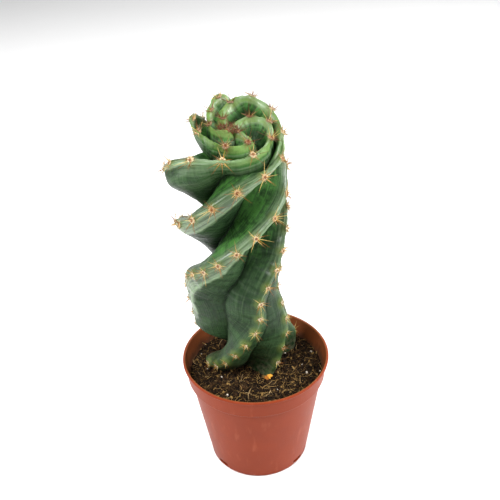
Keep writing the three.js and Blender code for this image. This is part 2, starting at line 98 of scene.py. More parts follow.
# Each gap runs from the lower side of one rib to the upper side of the next, in the order of the
# crests. Against the level: the shelf below the crest as a share of the lower side, how roundly
# that side falls away beyond it, how roundly the upper side falls, what fills the groove in
# millimetres, where between the crests the groove lies, and how soft its bottom is.
SHELF = (
    ((4, 0.1), (5, 0.24), (6, 0.3), (7, 0.44), (8, 0.4), (8.6, 0.28), (9.2, 0.12), (13, 0.08), (15, 0)),
    ((4, 0), (20, 0)),
    ((12, 0), (14, 0.35), (16, 0.2), (17, 0)),
    ((8, 0), (9.5, 0.4), (10, 0.42), (11, 0.3), (12, 0.32), (13, 0.18), (14, 0.14), (16, 0)),
)
LOWER_FALL = (
    ((0, 1.9), (3, 1.6), (5, 0.8), (9, 0.75), (12, 1.0), (14, 1.4), (16, 1.0), (18, 2.2)),
    ((0, 1.9), (3, 1.6), (5, 1.0), (9, 1.3), (11.5, 2.2), (13, 1.0), (16, 1.2), (20, 2.2)),
    ((0, 1.9), (7, 2.6), (9, 2.2), (10.5, 3), (11.2, 4), (11.8, 8), (12.5, 5), (13.5, 2.2), (20, 2.2)),
    ((0, 1.9), (3, 2.2), (7, 2.4), (8, 1.7), (9, 1.5), (10.5, 1.2), (13, 1.0), (15, 2.2), (20, 2.2)),
)
UPPER_FALL = (
    ((0, 1.6), (2, 1.6), (3.5, 1.2), (4.5, 0.65), (9, 0.65), (11, 1.2), (13, 1), (14, 0.5), (15, 1), (16, 2)),
    ((0, 0.5), (2, 0.55), (4, 0.65), (8, 0.7), (10, 1.25), (12, 1.2), (13, 0.75), (14.5, 0.8), (16, 1.9)),
    ((0, 1.6), (2, 1.6), (5, 1.5), (8, 1.4), (10, 1.25), (13, 1.3), (15, 1.9), (20, 2.2)),
    ((0, 1.6), (2, 1.6), (5, 1.5), (8, 1.4), (10, 1.25), (13, 1.3), (15, 1.9), (20, 2.2)),
)
FILLING = (
    ((3, 0), (4.5, 5), (6, 6), (8, 5), (9.5, 2), (11, 0), (13, 0), (14, -5), (16, -7), (17, -4), (18, 0)),
    ((1.5, 0), (3, 6), (5, 12), (7, 11), (8.5, 6), (10, 0), (13, -2), (14.2, -12), (15, -10), (17, 0)),
    ((9.5, 0), (10.5, -2), (11.2, -2.5), (12, 0)),
    ((7.4, 0), (8.3, -2.5), (9, -1.5), (9.8, 0), (16, 0), (17, -3), (18, -4), (19, 0)),
)
GROOVE_PLACE = (
    ((13, 0.5), (15, 0.37), (16, 0.37), (18, 0.5)),
    ((1, 0.5), (3, 0.36), (7, 0.32), (9, 0.5)),
    ((10, 0.5), (11.3, 0.56), (12.5, 0.5), (14, 0.4), (16, 0.5)),
    ((0, 0.5), (20, 0.5)),
)
GROOVE_SOFTNESS = (
    ((0, 1.2), (4, 1.0), (8, 1.0), (10, 1.3), (13, 1.3), (20, 1)),
    ((0, 1.3), (3, 1.1), (9, 1.1), (12, 1.3), (20, 1)),
    ((0, 1.3), (13, 1.3), (20, 1)),
    ((0, 1.3), (9, 1.6), (13, 1.6), (20, 1)),
)
SHELF_DROP = 0.09
FULL_SHELF = 0.2
CREST_ROUNDING = 0.1

# The folds of the crown: how steeply and how far its skin sinks away from the crests, between which
# levels they set in, and the levels of the crests that they hang from
FOLD_SLOPE = 2.1
FOLD_ROUNDING = 3.2
FOLD_DEPTH = 9.0
FOLD_LEVELS = (13.4, 14.8)
CROWN_LEVELS = np.arange(12.5, 20.01, 0.1)

# How far inside the edge of a free fin its areoles stand, against the level
AREOLE_INSET = (
    ((13.6, 0), (14.6, 3.5), (16, 2.5), (17, 0)),
    ((13, 0), (14, 3.5), (15.4, 3.5), (16.6, 0)),
    ((0, 0), (20, 0)),
    ((0, 0), (20, 0)),
)
INSET_STATION = 0.85

# How far an areole looks upward, in degrees, against the level
AREOLE_RISE = ((0, 0), (7, 8), (12, 18), (14, 35), (16, 52), (18, 66), (20, 82))

# Areoles along the crests: where the first ones stand, how far apart the others follow, and where
# that pitch begins to widen, over what stretch, and where the top's own pitch begins
FIRST_AREOLE = (61, 13.5, 13.5, 14)
PITCH_LOW = 13.0
PITCH_HIGH = 19.3
PITCH_TOP = 15.5
WIDENING_FROM = 125
WIDENING_OVER = 90
TOP_STRETCH = 315

# Areoles and their spines reach full size over this stretch of a crest
GROWN_FROM = 60
GROWN_OVER = 120

# New areoles crowd round the growing tip
NEW_AREOLES = 16
NEW_AREOLES_Z = 266.0
NEW_AREOLES_TURN = 137.5

# Ends of the random turns of scattered grains and of needles about themselves
FULL_TURN = 6.283
ANY_SPIN = 6.28


# Small helpers


def mix(a, b, t):
    return a + (b - a) * t


def held(x):
    """A number kept between 0 and 1."""
    return min(1.0, max(0.0, x))


def ramp(corners, x):
    """Value of a curve given by (position, value) corners."""
    return float(np.interp(x, [corner[0] for corner in corners], [corner[1] for corner in corners]))


def placed(points):
    """Millimetres from the pot's axis to metres in the row frame."""
    return (np.asarray(points, float) + (POT_AXIS_X, 0, 0)) * MM


def linked(name, data):
    """A new object in the scene, for a mesh, a lamp or a camera."""
    obj = bpy.data.objects.new(name, data)
    bpy.context.scene.collection.objects.link(obj)
    return obj


def new_object(name, points, faces, material=None):
    """A smooth mesh whose points are given in millimetres from the pot's axis."""
    mesh = bpy.data.meshes.new(name)
    mesh.from_pydata(placed(points).tolist(), [], faces)
    mesh.shade_smooth()
    if material:
        mesh.materials.append(material)
    return linked(name, mesh)


def add_numbers(obj, name, values, kind="FLOAT"):
    """Stores one number or vector for each vertex."""
    attribute = obj.data.attributes.new(name, kind, "POINT")
    field = "vector" if kind == "FLOAT_VECTOR" else "value"
    attribute.data.foreach_set(field, np.asarray(values).ravel())


def loft_faces(rows, count):
    """Quads between successive closed rings of equal count."""
    faces = []
    for i in range(rows - 1):
        for j in range(count):
            k = (j + 1) % count
            faces.append((i * count + j, i * count + k, (i + 1) * count + k, (i + 1) * count + j))
    return faces


def flipped(faces):
    """The same quads facing the other way, each from the same first corner."""
    return [(a, d, c, b) for a, b, c, d in faces]


def capped_faces(rows, count):
    """Faces of a closed body: its rings, then the middle of the first ring and of the last."""
    faces = loft_faces(rows, count)
    first = rows * count
    last_ring = first - count
    for j in range(count):
        k = (j + 1) % count
        faces.append((first, k, j))
        faces.append((first + 1, last_ring + j, last_ring + k))
    return faces


def settle(obj):
    """Turns an object's modifiers into its plain mesh."""
    bpy.context.view_layer.update()
    depsgraph = bpy.context.evaluated_depsgraph_get()
    mesh = bpy.data.meshes.new_from_object(
        obj.evaluated_get(depsgraph), preserve_all_data_layers=True, depsgraph=depsgraph
    )
    old = obj.data
    obj.modifiers.clear()
    obj.data = mesh
    bpy.data.meshes.remove(old)
    mesh.name = obj.name


def delete(obj):
    mesh = obj.data
    bpy.data.objects.remove(obj)
    bpy.data.meshes.remove(mesh)


# Node trees written as expressions


def pick(sockets, key):
    """A socket by its place, or the first usable one by its identifier or name."""
    if isinstance(key, int):
        return sockets[key]
    for socket in sockets:
        if socket.enabled and key in (socket.identifier, socket.name):
            return socket
    raise KeyError(f"no socket {key!r} among {[socket.name for socket in sockets]}")


class Term:
    """A node's output that takes part in Python arithmetic."""

    def __init__(self, graph, socket):
        self.graph = graph
        self.socket = socket

    def __add__(self, other):
        return self.graph.combine("ADD", self, other)

    def __radd__(self, other):
        return self.graph.combine("ADD", other, self)

    def __sub__(self, other):
        return self.graph.combine("SUBTRACT", self, other)

    def __rsub__(self, other):
        return self.graph.combine("SUBTRACT", other, self)

    def __mul__(self, other):
        return self.graph.combine("MULTIPLY", self, other)

    def __rmul__(self, other):
        return self.graph.combine("MULTIPLY", other, self)

    def __truediv__(self, other):
        return self.graph.combine("DIVIDE", self, other)

    def __rtruediv__(self, other):
        return self.graph.combine("DIVIDE", other, self)

    def __pow__(self, other):
        return self.graph.combine("POWER", self, other)

    def __rpow__(self, other):
        return self.graph.combine("POWER", other, self)


def is_wide(value):
    """Whether a value is a vector rather than a number."""
    return value.socket.type == "VECTOR" if isinstance(value, Term) else isinstance(value, tuple)


class Graph:
    """Adds nodes to one node tree."""

    def __init__(self, tree):
        self.tree = tree

    def feed(self, socket, value):
        if isinstance(value, Term):
            self.tree.links.new(value.socket, socket)
        else:
            socket.default_value = value

    def node(self, kind, settings=None, inputs=None):
        node = self.tree.nodes.new(kind)
        for name, value in (settings or {}).items():
            setattr(node, name, value)
        for key, value in (inputs or {}).items():
            self.feed(pick(node.inputs, key), value)
        return node

    def term(self, kind, settings=None, inputs=None, output=0):
        return Term(self, pick(self.node(kind, settings, inputs).outputs, output))

    def combine(self, operation, left, right):
        """Math on numbers, Vector Math as soon as one side is a vector."""
        left_wide, right_wide = (is_wide(side) for side in (left, right))
        if operation == "MULTIPLY" and left_wide != right_wide:
            vector, factor = (left, right) if left_wide else (right, left)
            return self.term("ShaderNodeVectorMath", {"operation": "SCALE"}, {0: vector, 3: factor})
        if left_wide or right_wide:
            return self.vectors(operation, left, right)
        return self.maths(operation, left, right)

    def maths(self, operation, *values):
        return self.term("ShaderNodeMath", {"operation": operation}, dict(enumerate(values)))

    def vectors(self, operation, *values):
        return self.term("ShaderNodeVectorMath", {"operation": operation}, dict(enumerate(values)))

    def xyz(self, x, y, z):
        return self.term("ShaderNodeCombineXYZ", {}, {0: x, 1: y, 2: z})

    def part(self, vector, axis):
        return self.term("ShaderNodeSeparateXYZ", {}, {0: vector}, axis)

    def smooth(self, value, low, high):
        """0 up to low, 1 from high on, with a smooth step between."""
        return self.term(
            "ShaderNodeMapRange",
            {"interpolation_type": "SMOOTHSTEP", "clamp": True},
            {"Value": value, "From Min": low, "From Max": high},
            "Result",
        )

    def noise(self, vector, scale, detail=3.0, roughness=0.5, distortion=0.0):
        return self.term(
            "ShaderNodeTexNoise",
            {"noise_dimensions": "3D"},
            {"Vector": vector, "Scale": scale, "Detail": detail, "Roughness": roughness,
             "Distortion": distortion},
        )


class Paint(Graph):
    """A material being written."""

    def __init__(self, name, **constants):
        self.material = bpy.data.materials.new(name)
        self.material.use_nodes = True
        super().__init__(self.material.node_tree)
        self.shader = next(n for n in self.tree.nodes if n.type == "BSDF_PRINCIPLED")
        for key, value in constants.items():
            self.shader.inputs[key.replace("_", " ")].default_value = value
        self.place = self.term("ShaderNodeTexCoord", {}, {}, "Object")

    def attribute(self, name):
        return self.term("ShaderNodeAttribute", {"attribute_name": name}, {}, "Fac")

    def blend(self, factor, first, second):
        return self.term(
            "ShaderNodeMix",
            {"data_type": "RGBA", "clamp_factor": True},
            {"Factor_Float": factor, "A_Color": first, "B_Color": second},
            "Result_Color",
        )

    def bump(self, height, distance, strength):
        inputs = {"Height": height, "Distance": distance, "Strength": strength}
        self.feed(self.shader.inputs["Normal"], self.term("ShaderNodeBump", {}, inputs, "Normal"))

    def finish(self, **channels):
        for key, value in channels.items():
            self.feed(self.shader.inputs[key.replace("_", " ")], value)
        return self.material


def colour(values):
    return (*values, 1.0)


def growth_tree(name, inputs):
    """An empty geometry tree with a Geometry input and output and named inputs."""
    tree = bpy.data.node_groups.new(name, "GeometryNodeTree")
    tree.interface.new_socket("Geometry", in_out="INPUT", socket_type="NodeSocketGeometry")
    for label, kind in inputs:
        tree.interface.new_socket(label, in_out="INPUT", socket_type=kind)
    tree.interface.new_socket("Geometry", in_out="OUTPUT", socket_type="NodeSocketGeometry")
    graph = Graph(tree)
    start = tree.nodes.new("NodeGroupInput")
    given = {socket.name: Term(graph, socket) for socket in start.outputs if socket.name}
    return graph, given


def close_tree(graph, geometry, material):
    """Ends a geometry tree in real geometry with its material."""
    solid = graph.term("GeometryNodeRealizeInstances", {}, {"Geometry": geometry}, "Geometry")
    inputs = {"Geometry": solid, "Material": material}
    finished = graph.term("GeometryNodeSetMaterial", {}, inputs, "Geometry")
    end = graph.tree.nodes.new("NodeGroupOutput")
    graph.tree.links.new(finished.socket, end.inputs["Geometry"])
    return graph.tree


def grow(obj, tree, **values):
    """Runs a geometry tree on an object, with its inputs given by name, and keeps the result."""
    modifier = obj.modifiers.new(tree.name, "NODES")
    modifier.node_group = tree
    for item in tree.interface.items_tree:
        key = item.name.replace(" ", "_").lower()
        if item.item_type == "SOCKET" and item.in_out == "INPUT" and key in values:
            modifier[item.identifier] = values[key]
    settle(obj)


def field(graph, name, kind="FLOAT"):
    """A number or vector that each vertex carries."""
    return graph.term("GeometryNodeInputNamedAttribute", {"data_type": kind}, {"Name": name}, "Attribute")


def chance(graph, low, high, seed):
    """A random number for each element."""
    return graph.term(
        "FunctionNodeRandomValue",
        {"data_type": "FLOAT"},
        {"Min_001": low, "Max_001": high, "Seed": seed},
        "Value_001",
    )


def shapes_on_points(graph, given, points, rotation, scale, seed):
    """Puts the given shape on points, tints each copy at random, and ends the tree."""
    shape = graph.term("GeometryNodeObjectInfo", {}, {"Object": given["Shape"]}, "Geometry")
    copies = graph.term(
        "GeometryNodeInstanceOnPoints", {},
        {"Points": points, "Instance": shape, "Rotation": rotation, "Scale": scale},
        "Instances",
    )
    tinted = graph.term(
        "GeometryNodeStoreNamedAttribute",
        {"data_type": "FLOAT", "domain": "INSTANCE"},
        {"Geometry": copies, "Name": "tint", "Value": chance(graph, 0.0, 1.0, seed)},
        "Geometry",
    )
    return close_tree(graph, tinted, given["Finish"])


# The pot


def lathe(outline, sides):
    """Rings of a turned solid about the pot's axis. The outline starts and ends on the axis."""
    turns = np.radians(np.arange(sides) * 360 / sides)
    rings = [
        np.column_stack((r * np.cos(turns), r * np.sin(turns), np.full(sides, z)))
        for r, z in outline[1:-1]
    ]
    points = np.vstack([*rings, [[0, 0, outline[0][1]], [0, 0, outline[-1][1]]]])
    return points, capped_faces(len(rings), sides)


def rounded(outline, steps=5):
    """Outline points (r, z, rounding) with each corner turned into a small curve."""
    result = []
    for i, (r, z, size) in enumerate(outline):
        here = np.array((r, z), float)
        if size == 0 or i in (0, len(outline) - 1):
            result.append((r, z))
            continue
        before = np.array(outline[i - 1][:2], float) - here
        after = np.array(outline[i + 1][:2], float) - here
        start = here + before * min(0.45, size / np.linalg.norm(before))
        end = here + after * min(0.45, size / np.linalg.norm(after))
        for step in range(steps + 1):
            t = step / steps
            point = (1 - t) ** 2 * start + 2 * t * (1 - t) * here + t * t * end
            result.append(tuple(point))
    return result


# The pot's section as radius, height and rounding, from the middle of its underside round to the
# middle of its floor
POT_OUTLINE = (
    (0, 5, 0), (32.4, 5, 0.6), (33.2, 4.2, 0.4), (33.2, 0, 0.35), (35.2, 0, 0.5), (36.1, 1.2, 0.5),
    (36.8, 6, 1.5), (47.5, 71.4, 0.5), (49.7, 73, 0.8), (51.1, 85.6, 0.3), (52.2, 86.1, 0.3),
    (52.5, 86.6, 0.3), (52.5, 87.6, 0.4), (52.1, 88, 0.4), (51, 88, 0.4), (50.6, 87.6, 0.4),
    (48.7, 75.5, 1.0), (46.3, 71, 1.0), (35.4, 8.5, 0.8), (34.2, 7, 0.8), (0, 7, 0),
)
POT_SIDES = 192
POT_SHARP_ANGLE = 40

# The arches under the foot ring, and the two drain slots over each. A slot is cut through the ring
# and then up through the floor's edge: from how far out, to how far out, and up to what height.
FOOT_ARCH_ANGLES = (90, 210, 330)
FOOT_ARCH_SPAN = 40
FOOT_ARCH_HEIGHT = 1.6
FOOT_ARCH_STEPS = 12
BELOW_FOOT = -1
FOOT_RING = (31, 39)
SLOT_OFFSET = 11
SLOT_WIDTH = 8.5
SLOT_BOTTOM = 2.9
SLOT_CUTS = ((31, 39, 5.6), (29, 33.4, 8))
SLOT_FACES = ((3, 2, 1, 0), (4, 5, 6, 7), (0, 1, 5, 4), (1, 2, 6, 5), (2, 3, 7, 6), (3, 0, 4, 7))


def slot_points(near, far, top, angle):
    """Corners of a box that points away from the pot's axis."""
    turn = math.radians(angle)
    corners = []
    for z in (SLOT_BOTTOM, top):
        for x, side in ((near, -1), (far, -1), (far, 1), (near, 1)):
            y = side * SLOT_WIDTH / 2
            across = x * math.cos(turn) - y * math.sin(turn)
            corners.append((across, x * math.sin(turn) + y * math.cos(turn), z))
    return corners


def arch_shape(angle):
    """A block that follows the pot's foot ring, in sections of four points, and its faces."""
    near, far = FOOT_RING
    section = ((near, BELOW_FOOT), (far, BELOW_FOOT), (far, FOOT_ARCH_HEIGHT), (near, FOOT_ARCH_HEIGHT))
    points = []
    for i in range(FOOT_ARCH_STEPS + 1):
        turn = math.radians(angle - FOOT_ARCH_SPAN / 2 + FOOT_ARCH_SPAN * i / FOOT_ARCH_STEPS)
        points += [(r * math.cos(turn), r * math.sin(turn), z) for r, z in section]
    last = 4 * FOOT_ARCH_STEPS
    ends = [(0, 1, 2, 3), (last + 3, last + 2, last + 1, last)]
    return points, ends + [face[::-1] for face in loft_faces(FOOT_ARCH_STEPS + 1, 4)]


def cut(obj, points, faces):
    """Takes a closed shape away from an object."""
    tool = new_object("cutter", points, faces)
    fix = bmesh.new()
    fix.from_mesh(tool.data)
    bmesh.ops.recalc_face_normals(fix, faces=fix.faces)
    fix.to_mesh(tool.data)
    fix.free()
    modifier = obj.modifiers.new("cut", "BOOLEAN")
    modifier.operation = "DIFFERENCE"
    modifier.solver = "EXACT"
    modifier.object = tool
    settle(obj)
    delete(tool)


def pot_plastic(settings):
    """Satin terracotta-coloured plastic with faint mottling, scuffs and soil dust inside."""
    paint = Paint("pot_plastic", IOR=1.48, Specular_IOR_Level=0.09)
    place = paint.place
    z = paint.part(place, 2)
    inside = paint.attribute("inner")
    clouds = paint.noise(place, 45, 4, 0.6)
    flow = paint.noise(place * (1.0, 1.0, 0.25), 160, 3, 0.55)
    base = paint.blend(clouds, colour(settings.shade), colour(settings.body))
    base = paint.blend(paint.smooth(flow, 0.55, 0.8) * 0.35, base, colour(settings.worn))
    scratches = paint.noise(place * (1.0, 1.0, 0.12), 900, 2, 0.4)
    scuffs = paint.smooth(scratches, 0.66, 0.8) * paint.smooth(clouds, 0.5, 0.7)
    base = paint.blend(scuffs * 0.5, base, colour(settings.worn))
    specks = paint.smooth(paint.noise(place, 520, 2, 0.5), 0.71, 0.76)
    dust_height = paint.noise(place, 120, 4, 0.6) * 0.012 + 0.072
    dust = inside * paint.smooth(dust_height - z, -0.004, 0.004)
    base = paint.blend(inside * 0.55, base, colour(settings.inside))
    base = paint.blend(dust * 0.8, base, colour((0.05, 0.026, 0.014)))
    base = paint.blend(specks * (inside * 0.7 + 0.12), base, colour((0.06, 0.03, 0.016)))
    grain = paint.noise(place, 2600, 2, 0.5)
    paint.bump(grain * 0.3 + flow * 0.5 + scratches * 0.4, 0.00025, 0.35)
    return paint.finish(
        Base_Color=base,
        Roughness=0.36 + clouds * 0.1 + scuffs * 0.2 + dust * 0.35,
    )


# The potting mix


MIX_SIDES = 96
MIX_STEPS = 36
MIX_RADIUS = 47.8
MIX_FOOT_Z = 7.35
MIX_WALL = ((33.4, MIX_FOOT_Z), (34.9, 8.85), (45.8, 71.0), (47.6, 73.2))
MIX_EDGE_DIP = 1.6

# The ground that grains are scattered on: its inner radius, its width and its dip at the wall
GROUND_SIDES = 72
GROUND_STEPS = 20
GROUND_START = 1.0
GROUND_WIDTH = 46.2
GROUND_EDGE_DIP = 1.2

# The strip of dried flakes along one rib's foot
FLAKE_LINE = ((4.3, 0.0), (6.3, -4.5), (8.9, -9.5), (9.4, -13.0), (7.6, -15.6))
FLAKE_SIDES = (-1.0, 1.2)
FLAKES = 420000.0


def hump(x, y):
    """Height of the mix over its mean level, in millimetres."""
    coarse = noise.fractal(Vector((x * 0.06, y * 0.06, 3.1)), 1.0, 2.0, 3)
    fine = noise.fractal(Vector((x * 0.28, y * 0.28, 9.4)), 0.8, 2.1, 3)
    return 0.9 * coarse + 0.5 * fine


def mix_shape():
    """Closed body of the mix: wall, underside and an uneven top."""
    turns = np.radians(np.arange(MIX_SIDES) * 360 / MIX_SIDES)
    rings = [[(r * math.cos(t), r * math.sin(t), z) for t in turns] for r, z in MIX_WALL]
    for i in range(MIX_STEPS):
        r = MIX_RADIUS * (1 - i / MIX_STEPS)
        level = SOIL_LEVEL - MIX_EDGE_DIP * math.exp(-(i / 1.5))
        ring = []
        for t in turns:
            x, y = r * math.cos(t), r * math.sin(t)
            ring.append((x, y, level + hump(x, y)))
        rings.append(ring)
    middles = [[0, 0, MIX_FOOT_Z], [0, 0, SOIL_LEVEL + hump(0, 0)]]
    points = np.vstack([np.array(rings, float).reshape(-1, 3), middles])
    return points, capped_faces(len(rings), MIX_SIDES)


def lump_shape(name, subdivisions, stretch, roughness, seed):
    """A small irregular lump about one unit across, to be scattered."""
    draw = random.Random(seed)
    shape = bmesh.new()
    bmesh.ops.create_icosphere(shape, subdivisions=subdivisions, radius=0.5)
    for vertex in shape.verts:
        vertex.co *= 1 + roughness * (draw.random() - 0.5)
        vertex.co = Vector(a * b for a, b in zip(vertex.co, stretch))
    mesh = bpy.data.meshes.new(name)
    shape.to_mesh(mesh)
    shape.free()
    return linked(name, mesh)


def fibre_shape(name, bend):
    """A bent strand one unit long, thickest in the middle, where it is about a twentieth thick."""
    rings, sides = 6, 4
    points = []
    for i in range(rings):
        t = i / (rings - 1)
        thick = 0.022 * (1 - 0.7 * abs(2 * t - 1) ** 2)
        for j in range(sides):
            turn = 2 * math.pi * j / sides
            points.append((t - 0.5, thick * math.cos(turn) + bend * math.sin(math.pi * t),
                           thick * math.sin(turn) + 0.4 * bend * math.sin(2.4 * math.pi * t)))
    last = (rings - 1) * sides
    ends = [(0, 1, 2, 3), (last + 3, last + 2, last + 1, last)]
    mesh = bpy.data.meshes.new(name)
    mesh.from_pydata(points, [], flipped(loft_faces(rings, sides)) + ends)
    return linked(name, mesh)


def scatter_tree(name):
    """Scatters one shape over a surface, each turned, sized and tinted at random."""
    graph, given = growth_tree(name, (
        ("Shape", "NodeSocketObject"), ("Density", "NodeSocketFloat"), ("Smallest", "NodeSocketFloat"),
        ("Largest", "NodeSocketFloat"), ("Tilt", "NodeSocketFloat"), ("Lift", "NodeSocketFloat"),
        ("Seed", "NodeSocketInt"), ("Finish", "NodeSocketMaterial"),
    ))
    spread = graph.node(
        "GeometryNodeDistributePointsOnFaces",
        {"distribute_method": "RANDOM"},
        {"Mesh": given["Geometry"], "Density": given["Density"], "Seed": given["Seed"]},
    )
    points = Term(graph, pick(spread.outputs, "Points"))
    raised = graph.term(
        "GeometryNodeSetPosition", {},
        {"Geometry": points, "Offset": graph.xyz(0.0, 0.0, given["Lift"])}, "Geometry",
    )
    tilt = given["Tilt"]
    turn = graph.xyz(
        chance(graph, -1.0, 1.0, 11) * tilt,
        chance(graph, -1.0, 1.0, 12) * tilt,
        chance(graph, 0.0, FULL_TURN, 13),
    )
    size = chance(graph, 0.0, 1.0, 14) ** 2.0
    size = given["Smallest"] + (given["Largest"] - given["Smallest"]) * size
    squash = graph.xyz(
        chance(graph, 0.75, 1.25, 15), chance(graph, 0.75, 1.25, 16), chance(graph, 0.7, 1.1, 17)
    )
    rotation = graph.term("FunctionNodeEulerToRotation", {}, {"Euler": turn}, "Rotation")
    return shapes_on_points(graph, given, raised, rotation, squash * size, 18)


def top_patch(name):
    """The mix's top, from near its middle to the pot's wall, as the ground for scattered grains."""
    points = []
    for i in range(GROUND_STEPS + 1):
        r = GROUND_START + GROUND_WIDTH * i / GROUND_STEPS
        dip = GROUND_EDGE_DIP * math.exp(-(GROUND_STEPS - i) / 1.2)
        for j in range(GROUND_SIDES):
            turn = 2 * math.pi * j / GROUND_SIDES
            x, y = r * math.cos(turn), r * math.sin(turn)
            points.append((x, y, SOIL_LEVEL + hump(x, y) - dip))
    return new_object(name, points, flipped(loft_faces(GROUND_STEPS + 1, GROUND_SIDES)))


def foot_patch(name):
    """A strip of ground along the foot of one rib, where dried skin has flaked off."""
    points = [(x + side, y, SOIL_LEVEL + hump(x, y)) for x, y in FLAKE_LINE for side in FLAKE_SIDES]
    faces = [(2 * i + 2, 2 * i + 3, 2 * i + 1, 2 * i) for i in range(len(FLAKE_LINE) - 1)]
    return new_object(name, points, faces)


def peat(name, dark, brown, light, rough):
    """Crumbly organic matter: dark with brown and tan parts, a little different grain by grain."""
    paint = Paint(name, Specular_IOR_Level=0.1)
    place = paint.place
    tint = paint.attribute("tint")
    patches = paint.noise(place, 420, 4, 0.65)
    bits = paint.noise(place, 1500, 3, 0.6)
    base = paint.blend(paint.smooth(patches * 0.5 + tint * 0.6, 0.3, 0.75), colour(dark), colour(brown))
    base = paint.blend(paint.smooth(bits, 0.62, 0.74) * 0.6, base, colour(light))
    base = paint.blend(paint.smooth(tint, 0.9, 0.96) * 0.6, base, colour(light))
    paint.bump(bits * 0.6 + patches, 0.0008, 0.8)
    return paint.finish(Base_Color=base, Roughness=rough + patches * 0.15)


def grit():
    """White volcanic grit with pores and brown stains."""
    paint = Paint("perlite", Specular_IOR_Level=0.3)
    pores = paint.noise(paint.place, 1900, 3, 0.6)
    stain = paint.noise(paint.place, 300, 2, 0.5)
    base = paint.blend(paint.smooth(pores, 0.35, 0.6), colour((0.28, 0.2, 0.13)), colour((0.8, 0.75, 0.66)))
    base = paint.blend(paint.smooth(stain, 0.45, 0.75) * 0.6, base, colour((0.3, 0.19, 0.1)))
    paint.bump(pores, 0.0006, 0.7)
    return paint.finish(Base_Color=base, Roughness=0.8 + pores * 0.1)


# The stem


# Steps for each level when a crest's length is measured
TRAVEL_STEPS = 40


def level_row(level):
    """The stem's measures at one level, on smooth curves that never overshoot the table."""
    last = len(TABLE) - 1
    i = min(int(level), last - 1)
    t = level - i

    def slope(j):
        if j <= 0:
            return TABLE[1] - TABLE[0]
        if j >= last:
            return TABLE[last] - TABLE[last - 1]
        before = TABLE[j] - TABLE[j - 1]
        after = TABLE[j + 1] - TABLE[j]
        steady = before * after > 0
        total = np.where(steady, before + after, 1.0)
        return np.where(steady, 2 * before * after / total, 0.0)

    t2, t3 = t * t, t * t * t
    return (
        TABLE[i] * (2 * t3 - 3 * t2 + 1) + slope(i) * (t3 - 2 * t2 + t)
        + TABLE[i + 1] * (3 * t2 - 2 * t3) + slope(i + 1) * (t3 - t2)
    )


def softened(t):
    """Distance from a crest (0) to the groove (1), with the crest itself rounded off."""
    e = CREST_ROUNDING
    top = (1 + e**4) ** 0.25 - e
    return ((t**4 + e**4) ** 0.25 - e) / top


def lower_share(k, level, t):
    """How far the lower side of rib k stands out, from 1 at the crest (t 0) to 0 in the groove (t 1)."""
    shelf = max(1e-4, ramp(SHELF[k], level))
    drop = SHELF_DROP * min(1.0, shelf / FULL_SHELF)
    if t <= shelf:
        return 1 - drop * (t / shelf) ** 2
    return (1 - drop) * (1 - ((t - shelf) / (1 - shelf)) ** ramp(LOWER_FALL[k], level))


class Gap:
    """The skin between the crest of rib k and the next one, at one level."""

    def __init__(self, k, level):
        self.k, self.level = k, level
        row = level_row(level)
        self.axis, groove, lift = row[:2], row[2], row[3]
        crests = row[4:].reshape(4, 3)
        self.turn, self.reach, self.height = crests[k]
        self.next_turn, self.next_reach, self.next_height = crests[(k + 1) % 4]
        if k == 3:
            self.next_turn += 360
        self.place = ramp(GROOVE_PLACE[k], level)
        self.groove_reach = groove * 0.5 * (self.reach + self.next_reach) + ramp(FILLING[k], level)
        self.groove_z = 0.5 * (self.height + self.next_height) - lift
        self.upper_fall = ramp(UPPER_FALL[k], level)
        self.softness = ramp(GROOVE_SOFTNESS[k], level)

    def at(self, station):
        """Point and share of standing out at a station from 0 to 1, with the groove at one half."""
        if station <= 0.5:
            s = station * 2 * self.place
            out, up = self.reach, self.height
            share = lower_share(self.k, self.level, softened(2 * station))
        else:
            s = 1 - (1 - station) * 2 * (1 - self.place)
            out, up = self.next_reach, self.next_height
            share = 1 - softened(2 * (1 - station)) ** self.upper_fall
        share = max(share, 0.0) ** self.softness
        r = mix(self.groove_reach, out, share)
        angle = math.radians(mix(self.turn, self.next_turn, s))
        point = (
            self.axis[0] + r * math.cos(angle),
            self.axis[1] + r * math.sin(angle),
            mix(self.groove_z, up, share),
        )
        return point, share


def stem_ring(level, stations):
    """One closed ring of the skin, with how far each point stands out of the groove."""
    found = [gap.at(station) for gap in (Gap(k, level) for k in range(4)) for station in stations]
    return [point for point, _ in found], [share for _, share in found]


def folded(points, levels):
    """Sinks the crown between its crests, so that the ribs stand as fins round the growing tip."""
    lines = np.array([crest_point(k, level) for k in range(4) for level in CROWN_LEVELS])
    start, end = FOLD_LEVELS
    result = points.copy()
    for i, level in enumerate(levels):
        fade = held((level - start) / (end - start))
        if fade == 0:
            continue
        away = np.linalg.norm(points[i][:, None, :] - lines[None], axis=2).min(1)
        sink = FOLD_SLOPE * (np.hypot(away, FOLD_ROUNDING) - FOLD_ROUNDING)
        result[i, :, 2] -= fade * FOLD_DEPTH * np.tanh(sink / FOLD_DEPTH)
    return result


def crest_point(k, level):
    """Where the crest of rib k stands at a level."""
    row = level_row(level)
    turn, reach, height = row[4 + 3 * k : 7 + 3 * k]
    angle = math.radians(turn)
    return Vector((row[0] + reach * math.cos(angle), row[1] + reach * math.sin(angle), height))


def crest_travel(k):
    """Levels along a crest, their points and the distance travelled since the soil."""
    levels = np.arange(TOP_LEVEL * TRAVEL_STEPS + 1) / TRAVEL_STEPS
    points = [crest_point(k, level) for level in levels]
    travelled = [0.0]
    for before, here in zip(points, points[1:]):
        step = (here - before).length if here.z > SOIL_LEVEL else 0.0
        travelled.append(travelled[-1] + step)
    return levels, points, travelled


